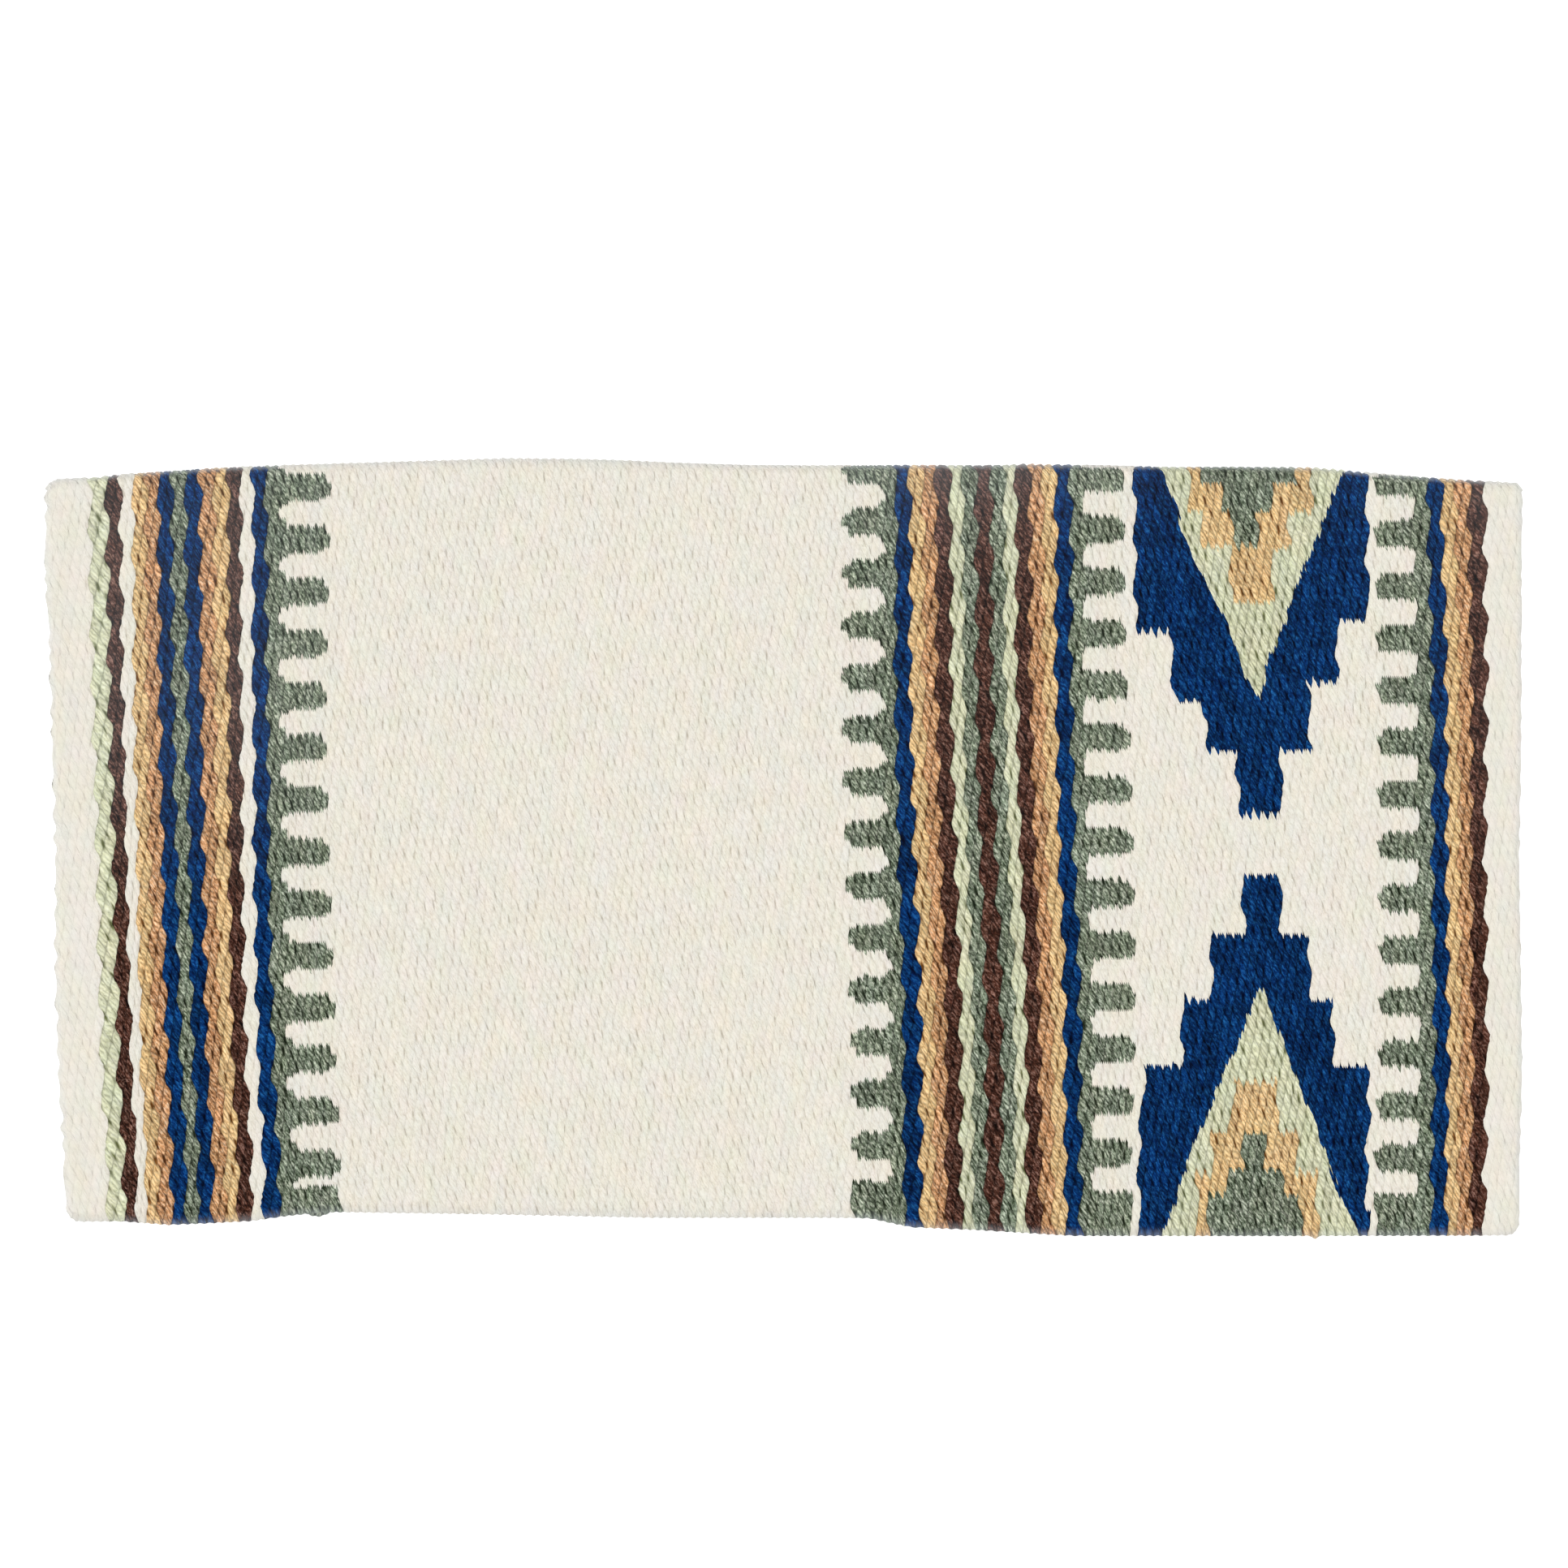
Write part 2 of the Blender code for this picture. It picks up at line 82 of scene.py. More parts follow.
# The weave, in metres but for counts of picks and shares
CORD_PITCH = 0.00764
TOOTH_PITCH = 0.0304
TOOTH_HEIGHT = 0.0158
STITCH_CROWN = 0.0007
STITCH_VARIETY = 0.45
CROWN_SHARPNESS = 0.6
SLIT_DEPTH = 0.0009
SLIT_SHARPNESS = 3
CALM_PICKS = 19
CALM_RELIEF = 0.45
PICK_PITCH = 0.0012
BROAD_WAVE = 0.0003
WAVE_STRETCH = 0.35
YARN_WANDER = 0.0003
CORD_WANDER = 0.0005
COMB_NOTCH = 0.0023
MOTIF_NOTCH = 0.0044
NOTCH_VARIETY = 0.35
RAGGED_EDGE = 0.0007
UPRIGHT_SLOPE = 1.1
COMB_ROUNDING = 3.0
V_UNEVENNESS = 2.2

# Edges and the inside of the fold
HEM_ROUNDING = 0.0045
END_ROUNDING = 0.0045
CORNER_RADIUS = 0.0080
EDGE_WALL_SHARE = 0.25
EDGE_RELIEF = 0.3
EDGE_SPREAD = 2.5
END_PICKS = 6
LOOP_RADIUS = 0.0012
LOOP_REACH = 0.009
LOOP_FADE = 0.0012
FOLD_PARTING = 0.0006
LOWER_HEM_SETBACK = 0.005
HEM_SHOWS_AT = 0.183
HEM_SHOWS_WIDTH = 0.014
HEM_SHOWS_BY = 1.5
LOWER_END_SETBACK = 0.0015
LOWER_END_BLEND = 0.03
HEM_LUMP = 0.0006
END_LUMP = 0.0008
FOLD_LUMP = 0.0005
SURFACE_LIFT = 0.0005

# The end of a gold yarn hangs out of the hem
KNOT_LENGTH = 0.0022
KNOT_SHARE = 0.8590
KNOT_WIDTH = 0.0018

# Wool, and the places on the cloth that its materials read
WOOL_ROUGHNESS = 0.95
WOOL_SPECULAR = 0.08
# Painted sheen: how strongly the rolled edges and the fold are lightened towards a pale colour, how
# that grows where the surface turns from the camera, and that colour
EDGE_SHEEN = 0.36
SHEEN_SPREAD = 0.7
SHEEN_COLOUR = (0.90, 0.96, 1.00, 1)
# Painted sheen haze, which stands in for light caught in the fuzz: how far it reaches from the
# fold, where it starts to fade, and over what distance
SHEEN_HAZE_REACH = 0.030
SHEEN_HAZE_SHOULDER = 0.11
SHEEN_HAZE_FADE = 0.17
BUMP_DISTANCE = 0.0012
UV_SCALE = 0.01

# How the stitches are shaded. Bends, shifts, widths and reaches are in turns of the weave, each of
# which is four picks or two cords
TURN = 2 * math.pi
CLOUD_STRETCH = 0.34
PICK_IN_CORDS = 0.162
LEAN_BEND = 0.10
RUN_BEND = 0.06
SLIT_SHIFT_ALONG = 0.12
SLIT_SHIFT_ACROSS = 0.09
SLIT_WIDTHS = (0.10, 0.20)
SLIT_REACH = 0.21
PLY_LEAN = 13.1
PLY_RUN = -25.0
PLY_TWISTS = (-8.0, 4.0)
PLY_STRETCHES = (-5.0, 5.0)
PLY_SHIFT = 6.3
PLY_BEND = 2.5
PLY_ENDS = (0.42, 0.10)
PLY_MEAN = 0.43
PLY_ROUNDNESS = 0.6
FIBRE_SLANT = -3.9
FIBRE_FINENESS = (0.23, 2.27)
FIBRE_JUMP = 30.0
DARK_FIBRES = (0.50, 0.26)
LIGHT_FIBRES = (0.50, 0.74)
HAIR_WIDTH = 0.014
HAIR_PLACES = (0.45, 0.60)
STREAK_SLANT = 0.8
STREAK_FINENESS = (0.75, 1.7)
VALLEYS = (0.30, 0.0)
CLOUD_SHARE = 0.8

# The noises over the weave: scale, detail, roughness and distortion
NOISES = {
    "lean": (0.9,), "run": (0.7,), "ply": (0.5,), "fibre": (1.0, 3.0, 0.65, 0.3),
    "hair": (1.3, 1.0, 0.5, 0.8), "hair place": (0.9, 1.0), "cloud": (0.22, 2.0, 0.55),
    "streak": (1.0, 2.0, 0.6), "tint": (0.35, 3.0, 0.6),
}

# How much of the bump's height comes from the stitches, the plies, the fibres and the slits
BUMP_SHARES = (0.45, 0.25, 0.45, 0.5)

# The end borders show less of the stitches and more of the ribs, as painted shade along them, and
# are a little darker
CALM_SHOW = 0.25
END_RIB_SHADE = 0.012
END_GAIN = 0.982

# Slow changes of shade, from greenish to reddish and from bluish to yellowish
TINT_SPAN = (0.30, 0.70)
TINTS = ((0.973, 1.009, 1.004, 1), (1.027, 0.991, 0.996, 1))
WARMTHS = ((0.996, 0.998, 1.040, 1), (1.004, 1.002, 0.960, 1))

# The room
FLOOR_SIZE = 8.0
FLOOR_GAP = 0.0002
FLOOR_GLOW = 0.6
ROOM_LIGHT = 0.62
WINDOW_LIGHT = 0.85
FILL_LIGHT = 0.45
CAMERA_LENS = 200.0
SENSOR_WIDTH = 36.0
FRAME_WIDTH = 0.9169
CAMERA_X = 0.0
CAMERA_Y = 0.037


def in_shares(*points):
    """A table of places with their values, from one in ten-thousandths."""
    return tuple((place / 10000, value / 10000) for place, value in points)


def stairs(*steps):
    """A stepped outline, from the place of each upright side and the level where it ends."""
    outline = []
    level = steps[-1][1]
    for place, end in steps:
        outline += [(place, level), (place, end)]
        level = end
    return in_shares(*outline)


# How far the outermost point of the fold, its crease and the hem sit back, each at places across
FOLD_DROOP_SHARES = in_shares(
    (0, 350), (17, 320), (70, 280), (292, 255), (622, 187), (1172, 125), (1998, 63), (3099, 0),
    (3924, 31), (4750, 90), (5190, 98), (6290, 88), (6676, 63), (7501, 104), (8602, 125),
    (9152, 219), (9703, 292), (9967, 323), (10000, 380),
)
CREASE_DROOP_SHARES = in_shares(
    (0, 261), (70, 191), (292, 166), (622, 98), (1172, 36), (1700, 0), (7900, 0), (8602, 36),
    (9152, 130), (9703, 203), (9967, 234), (10000, 291),
)
HEM_RISE_SHARES = in_shares(
    (0, 190), (237, 190), (510, 195), (820, 150), (1060, 168), (1388, 200), (1596, 257),
    (1888, 315), (2988, 285), (4090, 240), (5300, 240), (5575, 235), (5850, 120), (6290, 85),
    (6951, 10), (8327, 8), (10000, 15),
)

# How strong the painted sheen haze, light caught in the fuzz, is at places across: close to the
# fold, and from there to the middle of a half
SHEEN_HAZE_NEAR_FOLD = in_shares(
    (0, 0), (1600, 40), (3000, 200), (5600, 420), (6600, 280), (7100, 220), (7500, 130),
    (8800, 80), (9400, 60), (10000, 300),
)
SHEEN_HAZE_FAR = in_shares(
    (0, 210), (1600, 210), (3000, 120), (5600, 40), (7100, 20), (7500, 0), (8800, 10), (9400, 60),
    (10000, 60),
)

# The lines along the cloth: how many picks they are from the left end, then their places across at
# the fold and at the hem, in ten-thousandths
LINES = (
    (0, 0, 149), (20, 292, 413), (26, 402, 523), (32, 487, 608), (38, 572, 664), (50, 748, 842),
    (56, 837, 941), (62, 930, 1021), (68, 1029, 1121), (80, 1220, 1288), (86, 1304, 1381),
    (92, 1387, 1458), (98, 1475, 1574), (107, 1607, 1701), (129, 1915, 2003), (372, 5399, 5476),
    (391, 5669, 5751), (397, 5748, 5823), (403, 5846, 5946), (415, 6021, 6114), (421, 6120, 6219),
    (427, 6201, 6296), (433, 6291, 6383), (439, 6395, 6494), (445, 6485, 6577), (451, 6560, 6654),
    (457, 6659, 6751), (469, 6828, 6918), (475, 6935, 7023), (481, 7028, 7111), (502, 7325, 7375),
    (621, 9020, 9037), (640, 9285, 9307), (646, 9378, 9406), (652, 9470, 9503), (664, 9648, 9664),
    (670, 9758, 9758), (687, 10000, 9983),
)
LAST_PICK = LINES[-1][0]

# How far the lines sway to the right of straight ones, at parts of the way down: places across,
# each with its sways in ten-thousandths of the length
SWAY_PARTS = (0.00, 0.06, 0.14, 0.25, 0.38, 0.52, 0.65, 0.79, 0.90, 1.00)
SWAYS = (
    (0.000, (-5, -12, -33, -16, -19, -19, -47, -50, -30, -17)),
    (0.045, (16, 16, 12, 3, 0, 5, 5, 5, 26, 15)),
    (0.150, (16, 16, 12, 3, 0, -8, -10, 0, 26, 15)),
    (0.200, (16, 5, -10, -41, -50, -45, -31, -23, -2, 4)),
    (0.600, (6, 6, 4, -11, -11, -5, 11, 8, -5, -5)),
    (0.705, (6, 6, 4, -11, -11, -5, 11, 8, -5, -5)),
    (0.735, (-27, -27, -23, -27, 5, 17, 22, 8, -21, -16)),
    (0.950, (-11, -11, -8, 8, 8, 3, 6, 8, -14, -14)),
    (1.000, (-3, -3, -6, -6, -6, -17, -3, 8, -6, -6)),
)

# How many cords the count is ahead of the fold's outermost point, at some picks
CORD_COUNT_START = ((0, -1.80), (92, -1.62), (397, -1.16), (475, -1.50), (640, -1.22), (687, -1.20))

# The CAD nodes of the lower half from left to right, each with its stripes: the stripe's name, then
# its yarns with the pick where each ends
STRIPES = (
    ("lower_cream_border_1", ("cream_border_left", "cream", 20)),
    ("lower_edge_stripes",
     ("mint_stripe_left", "mint", 26), ("brown_stripe_left", "brown", 32),
     ("cream_stripe_left", "cream", 38), ("tan_stripe_left", "gold", 44, "rust", 50)),
    ("lower_blue_stripes",
     ("blue_stripe_1", "blue", 56), ("sage_stripe_1", "sage", 62), ("blue_stripe_2", "blue", 68)),
    ("lower_tan_stripe_2", ("tan_stripe_2", "rust", 74, "gold", 80)),
    ("lower_brown_stripes_1",
     ("brown_stripe_2", "brown", 86), ("cream_stripe_2", "cream", 92),
     ("blue_stripe_3", "blue", 98)),
    ("lower_sage_comb_1", ("comb_1", "sage", 129)),
    ("lower_cream_field", ("field", "cream", 372)),
    ("lower_sage_comb_2", ("comb_2", "sage", 397)),
    ("lower_tan_stripes_3",
     ("blue_stripe_4", "blue", 403), ("tan_stripe_3", "gold", 409, "rust", 415),
     ("brown_stripe_3", "brown", 421)),
    ("lower_mint_stripes",
     ("mint_stripe_2", "mint", 427), ("sage_stripe_2", "sage", 433),
     ("brown_stripe_4", "brown", 439), ("sage_stripe_3", "sage", 445),
     ("mint_stripe_3", "mint", 451)),
    ("lower_tan_stripes_4",
     ("brown_stripe_5", "brown", 457), ("tan_stripe_4", "rust", 463, "gold", 469),
     ("blue_stripe_5", "blue", 475)),
    ("lower_sage_comb_3", ("comb_3", "sage", 502)),
    ("lower_motif_ground", ("ground", "cream", 620)),
    ("lower_sage_comb_4", ("comb_4", "sage", 646)),
    ("lower_tan_stripes_5",
     ("blue_stripe_6", "blue", 652), ("tan_stripe_5", "gold", 658, "rust", 664),
     ("brown_stripe_6", "brown", 670)),
    ("lower_cream_border_2", ("cream_border_right", "cream", 687)),
)

# What a stripe's CAD node in the upper half is called where it isn't called like the stripe
UPPER_NAMES = (
    ("_left", "_1"), ("_right", "_2"), ("comb", "sage_comb"), ("field", "cream_field"),
    ("ground", "motif_ground"),
)

# Each comb: the cream that shows between its teeth, the picks between which its teeth reach, foot
# first, how far down its first tooth's middle comes, as a share of TOOTH_PITCH, and how far above
# the hem its last tooth starts
COMBS = (
    ("comb_1", "field", 104.5, 128.5, 0.590, 0.0158),
    ("comb_2", "field", 390.5, 371.5, 0.250, 0.0224),
    ("comb_3", "ground", 478.5, 501.5, 0.395, 0.0260),
    ("comb_4", "ground", 640.5, 619.5, 0.485, 0.0247),
)

# The stepped motif's outlines: those that hang from the fold, then those that stand on the hem
SPINE_MOTIF = (
    ("blue", stairs(
        (7372, 2240), (7638, 3135), (7855, 3771), (8073, 4594), (8371, 3771), (8558, 2890),
        (8745, 2104), (8949, -1000),
    )),
    ("mint", in_shares(
        (7400, -1000), (7515, 0), (7576, 271), (7691, 896), (7788, 1313), (7944, 1938),
        (8079, 2563), (8170, 2979), (8211, 3125), (8231, 2979), (8291, 2563), (8415, 1938),
        (8547, 1313), (8632, 896), (8753, 271), (8809, 0), (8960, -1000),
    )),
    ("gold", stairs(
        (7744, 698), (7837, 1146), (8024, 1865), (8316, 1167), (8428, 698), (8578, -1000),
    )),
    ("sage", stairs(
        (7818, 344), (7965, 698), (8040, 1140), (8208, 698), (8302, 344), (8480, -1000),
    )),
)
HEM_MOTIF = (
    ("blue", in_shares(
        (7391, 11000), (7435, 7802), (7694, 7802), (7694, 6958), (7895, 6958), (7895, 6125),
        (8119, 6125), (8119, 5354), (8366, 5354), (8366, 6125), (8562, 6125), (8562, 6958),
        (8726, 6958), (8726, 7802), (8955, 7802), (8966, 11000),
    )),
    ("mint", in_shares(
        (7331, 11000), (7591, 9802), (7674, 9385), (7729, 8969), (7877, 8344), (8020, 7719),
        (8153, 7094), (8228, 6800), (8288, 7094), (8409, 7719), (8542, 8344), (8674, 8969),
        (8745, 9385), (8839, 9802), (9098, 11000),
    )),
    ("gold", stairs(
        (7799, 9187), (7898, 8656), (8033, 8010), (8349, 8646), (8481, 9187), (8619, 11000),
    )),
    ("sage", stairs(
        (7876, 9458), (7991, 9135), (8108, 8660), (8265, 9135), (8371, 9458), (8503, 11000),
    )),
)

# Wide areas are made of several pieces, which meet at these picks
SEAM_PICKS = {"field": (168, 222, 276, 330), "ground": (561,)}

# Each yarn: its shade, its darkest fibres, whose colour also gives the painted shade in the slits,
# and its lightest fibres
SHADES = {
    "cream": ((0.932, 0.889, 0.784), (0.560, 0.485, 0.365), (0.970, 0.945, 0.870)),
    "mint": ((0.765, 0.773, 0.538), (0.190, 0.210, 0.085), (0.880, 0.900, 0.750)),
    "brown": ((0.080, 0.0275, 0.0160), (0.012, 0.005, 0.004), (0.280, 0.155, 0.120)),
    "gold": ((0.860, 0.588, 0.285), (0.230, 0.090, 0.020), (0.930, 0.760, 0.470)),
    "rust": ((0.695, 0.362, 0.168), (0.150, 0.055, 0.018), (0.860, 0.620, 0.410)),
    "blue": ((0.0012, 0.0295, 0.136), (0.000, 0.003, 0.028), (0.014, 0.116, 0.330)),
    "sage": ((0.226, 0.272, 0.192), (0.035, 0.050, 0.025), (0.580, 0.620, 0.490)),
}

# How each yarn shows its make. First come the numbers that its material takes: how much one stitch
# differs from the next, how much its fibres do, how dark the painted shade in the slits between
# stitches is and how rare the slits are, how dark the painted shade in the valleys between stitches
# is, how strong the painted highlights and shade along the two plies are, how many stray hairs lie
# on it, how slanted its slits are, how streaky it is, and how wide its slits are. Then come how
# strong its painted sheen haze is, how rough it feels and how high its stitches stand
CHARACTER_NAMES = (
    "Stitch contrast", "Fibre contrast", "Slit darkness", "Slit rarity", "Valley darkness",
    "Ply contrast", "Hairs", "Slit slant", "Streaks", "Slit width",
)
SHEEN_HAZE, ROUGHNESS, HEIGHT = -3, -2, -1
CHARACTERS = {
    "cream": (0.020, 0.46, 0.72, 0.9, 0.030, 0.02, 0.00, 0.05, 0.11, 0.42, 0.3, 0.72, 0.30),
    "mint": (0.10, 0.60, 1.50, 1.3, 0.38, 0.20, 0.00, 0.35, 0.14, 0.80, 2.5, 0.65, 1.30),
    "brown": (0.30, 1.55, 1.30, 1.3, 0.55, 0.42, 0.65, 0.35, 0.50, 0.85, 2.3, 0.90, 1.20),
    "gold": (0.15, 0.85, 1.65, 1.3, 0.46, 0.35, 0.00, 0.35, 0.16, 0.80, 1.0, 0.65, 1.35),
    "rust": (0.22, 1.20, 1.80, 1.2, 0.58, 0.40, 0.00, 0.35, 0.30, 0.80, 1.5, 0.65, 1.35),
    "blue": (0.38, 1.20, 1.40, 1.2, 0.55, 0.30, 0.60, 0.25, 0.36, 0.80, 1.0, 0.85, 1.30),
    "sage": (0.20, 1.55, 1.90, 1.2, 0.55, 0.42, 0.16, 0.35, 0.22, 0.75, 1.5, 0.90, 1.30),
}

# The sockets of the two shader groups
SHADE_NAMES = ("Shade", "Dark fibre and slit shade", "Light fibre")
STITCH_INPUTS = ("Cloth place", "Slit rarity", "Slit slant", "Slit width")
MASKS = (
    "Slit", "Crown", "Ply", "Fibre", "Chance", "Cloud", "Inside", "Hair", "Rib", "Streak", "Tint",
    "Warmth",
)
SOCKET_KINDS = dict.fromkeys((*SHADE_NAMES, "Color"), "NodeSocketColor")
SOCKET_KINDS["Cloth place"] = "NodeSocketVector"


def table_value(table, places):
    """The value that a table of (place, value) gives at places."""
    known, values = zip(*table)
    return np.interp(places, known, values)


def smooth_step(value):
    value = np.clip(value, 0, 1)
    return value * value * (3 - 2 * value)


def wander(across, along, seed):
    """A smooth irregular value between about -1 and 1, from places in metres."""
    total = np.zeros_like(across)
    for turn in range(6):
        angle = 2.4 * turn + seed
        wave = 0.021 + 0.013 * ((turn * 7 + seed * 3) % 5)
        phase = across * math.cos(angle) + along * math.sin(angle)
        total += np.sin(2 * math.pi * phase / wave + 1.7 * turn + seed)
    return total / 3


# The grid of points on the cloth, how far past the hem it goes, and how far its edge points move
# out, in cords
POINTS_PER_CORD = 4
GRID_MARGIN = 0.02
SNAP_REACH = 0.7


def cloth_grid():
    """Points on the cloth, by pick and cord: rows a quarter of a cord apart, and columns one pick
    apart that lean with the stitches."""
    reach = (DEPTH + GRID_MARGIN) / CORD_PITCH + abs(table_value(CORD_COUNT_START, 0))
    first_row = -int(POINTS_PER_CORD * (reach + 3))
    last_row = int(POINTS_PER_CORD * reach)
    rows = np.arange(first_row, last_row + 1)
    columns = np.arange(
        first_row // POINTS_PER_CORD - 2, LAST_PICK + last_row // POINTS_PER_CORD + 3
    )
    row, column = np.meshgrid(rows, columns, indexing="ij")
    cord = row / POINTS_PER_CORD
    return column - cord, cord


def share_across(pick, down):
    """The place across, as a share, of a pick at a distance down."""
    picks, *places = zip(*LINES)
    at_fold, at_hem = np.array(places) / 10000
    part = down / DEPTH
    share = (1 - part) * np.interp(pick, picks, at_fold) + part * np.interp(pick, picks, at_hem)
    places = [place for place, _ in SWAYS]
    for number, (_, sways) in enumerate(SWAYS):
        weight = np.interp(share, places, np.arange(len(places)) == number)
        share = share + weight * np.interp(part, SWAY_PARTS, sways) / 10000
    return share


def fold_measures(share):
    """How far down the fold's crease is, how far it bulges, and a quarter of the way round it."""
    crease = FOLD_RADIUS + DEPTH * table_value(CREASE_DROOP_SHARES, share)
    bulge = crease - DEPTH * table_value(FOLD_DROOP_SHARES, share)
    quarter = math.pi / 2 * np.sqrt((bulge**2 + FOLD_RADIUS**2) / 2)
    return crease, bulge, quarter


def cell_of(pick, cord):
    """The stitch at each place: its pick and its cord."""
    lean = (pick - cord) / 4
    run = cord / 2
    first = np.round(lean + run)
    second = np.round(lean - run)
    return 3 * first + second, first - second


def stitch_chance(pick, cord):
    """A fixed value between 0 and 1 for each stitch."""
    return np.sin(pick * 12.9898 + cord * 78.233) * 43758.5453 % 1


def relief(pick, cord):
    """How deep the surface lies below the crowns of the stitches. The end borders are smoother."""
    lean = (pick - cord) / 4
    run = cord / 2
    across = np.cos(2 * math.pi * lean)
    lengthwise = np.cos(2 * math.pi * run)
    crown = (np.abs(across + lengthwise) / 2) ** CROWN_SHARPNESS
    slit = np.clip(-across * lengthwise, 0, 1) ** SLIT_SHARPNESS
    slit *= stitch_chance(np.floor(lean + run), np.floor(lean - run))
    crown = crown * (1 - STITCH_VARIETY * stitch_chance(*cell_of(pick, cord)))
    inside = smooth_step((np.minimum(pick, LAST_PICK - pick) - CALM_PICKS + 3) / 4)
    calm = CALM_RELIEF + (1 - CALM_RELIEF) * inside
    return (STITCH_CROWN * (1 - crown) + SLIT_DEPTH * slit) * calm


def lower_setback(share):
    """The lower hem lies behind the upper one, but for a short way where it shows."""
    shows = np.exp(-((share - HEM_SHOWS_AT) / HEM_SHOWS_WIDTH) ** 2)
    return LOWER_HEM_SETBACK * (1 - HEM_SHOWS_BY * shows)


class Cloth:
    """The whole blanket as a grid of points, with its outer and inner surface."""

    def __init__(self):
        self.pick, self.cord = cloth_grid()
        self.locate()
        self.find_quads()
        self.snap_edges()
        self.locate_again()

    def locate(self):
        start = table_value(CORD_COUNT_START, self.pick)
        self.along = (self.cord - start) * CORD_PITCH
        self.along += CORD_WANDER * wander(self.pick * PICK_PITCH, self.along, 3)
        self.measure()

    def measure(self):
        """Everything that follows from the place along the cloth."""
        down = np.clip(self.along, 0, DEPTH)
        for _ in range(2):
            self.share = share_across(self.pick, np.clip(down, 0, DEPTH))
            self.crease, self.bulge, self.quarter = fold_measures(self.share)
            self.turn = self.crease - self.quarter
            down = np.where(self.along > self.turn, self.along, 2 * self.turn - self.along)
        self.down = down
        self.upper = self.along > self.turn
        hem = DEPTH * (1 - table_value(HEM_RISE_SHARES, self.share))
        hem -= HEM_LUMP * (0.5 - 0.5 * np.cos(math.pi / 2 * self.pick))
        hem += KNOT_LENGTH * np.exp(-((self.share - KNOT_SHARE) / KNOT_WIDTH) ** 2) * self.upper
        self.hem = np.where(self.upper, hem, hem - lower_setback(self.share))
        self.to_hem = self.hem - self.down

    def find_quads(self):
        """The diamonds on the cloth, each between four points, from the top one to the left one."""
        rows, columns = self.pick.shape
        index = np.arange(rows * columns).reshape(rows, columns)
        top = index[:-2, :-1]
        left = index[1:-1, :-1]
        bottom = index[2:, 1:]
        right = index[1:-1, 1:]
        quads = np.stack([top, left, bottom, right], axis=-1).reshape(-1, 4)
        middle_pick = self.pick.ravel()[quads].mean(axis=1)
        middle_hem = self.to_hem.ravel()[quads].mean(axis=1)
        kept = (middle_pick > 0) & (middle_pick < LAST_PICK) & (middle_hem > 0)
        self.quads = quads[kept]

    def snap_edges(self):
        """Points on the edge of the kept diamonds move out onto the hem or the end of the cloth."""
        count = np.bincount(self.quads.ravel(), minlength=self.pick.size).reshape(self.pick.shape)
        edge = (count > 0) & (count < 4)
        near_hem = edge & (self.to_hem < SNAP_REACH * CORD_PITCH)
        self.along = np.where(near_hem & self.upper, self.along + self.to_hem, self.along)
        self.along = np.where(near_hem & ~self.upper, self.along - self.to_hem, self.along)
        self.place_pick = np.where(edge & (self.pick < 1), 0.0, self.pick)
        self.place_pick = np.where(edge & (self.pick > LAST_PICK - 1), LAST_PICK, self.place_pick)

    def locate_again(self):
        pick = self.pick
        self.pick = self.place_pick
        self.measure()
        self.pick = pick
        self.to_hem = np.maximum(self.to_hem, 0.0)
        self.x = LEFT + LENGTH * self.share
        inside = smooth_step(np.minimum(self.place_pick, LAST_PICK - self.place_pick) / END_PICKS)
        self.x += inside * YARN_WANDER * wander(self.pick * PICK_PITCH, self.along, 11)
        lumps = np.sin(math.pi * self.cord + 2 * wander(self.along, self.along, 31))
        lumps *= (1 + 0.8 * wander(self.along * 0.5, self.along, 17)) * np.where(self.x < 0, 1, 0.4)
        self.x += (1 - inside) * END_LUMP * lumps * smooth_step(self.to_hem / CORNER_RADIUS)
        below = smooth_step((self.turn - self.along) / LOWER_END_BLEND)
        middle = (LEFT + RIGHT) / 2
        self.x = middle + (self.x - middle) * (1 - below * 2 * LOWER_END_SETBACK / LENGTH)

    def yarn_heights(self, yarns):
        """How high the stitches round each point stand, from the yarns of the diamonds."""
        heights = np.array([CHARACTERS[yarn][HEIGHT] for yarn in yarns])
        total = sum(np.bincount(self.quads[:, k], heights, self.pick.size) for k in range(4))
        count = np.bincount(self.quads.ravel(), minlength=self.pick.size)
        return (total / np.maximum(count, 1)).reshape(self.pick.shape)

    def round_corners(self):
        """Places across and down with rounded corners, and how far each is in a rolled edge."""
        first = LEFT + LENGTH * share_across(0.0, self.down)
        last = LEFT + LENGTH * share_across(float(LAST_PICK), self.down)
        to_end = np.clip(np.minimum(self.x - first, last - self.x), 0, None)
        near_end = np.clip(1 - to_end / CORNER_RADIUS, 0, 1)
        near_hem = np.clip(1 - self.to_hem / CORNER_RADIUS, 0, 1)
        pull = np.where(
            (near_end > 0) & (near_hem > 0),
            np.maximum(near_end, near_hem) / np.maximum(np.hypot(near_end, near_hem), 1e-6),
            1.0,
        )
        x = self.x - np.sign(self.x) * CORNER_RADIUS * near_end * (1 - pull)
        down = self.down - CORNER_RADIUS * near_hem * (1 - pull)
        hem_part = np.clip(1 - self.to_hem / HEM_ROUNDING, 0, 1)
        end_part = np.clip(1 - to_end / END_ROUNDING, 0, 1)
        return x, down, np.maximum(hem_part, end_part)

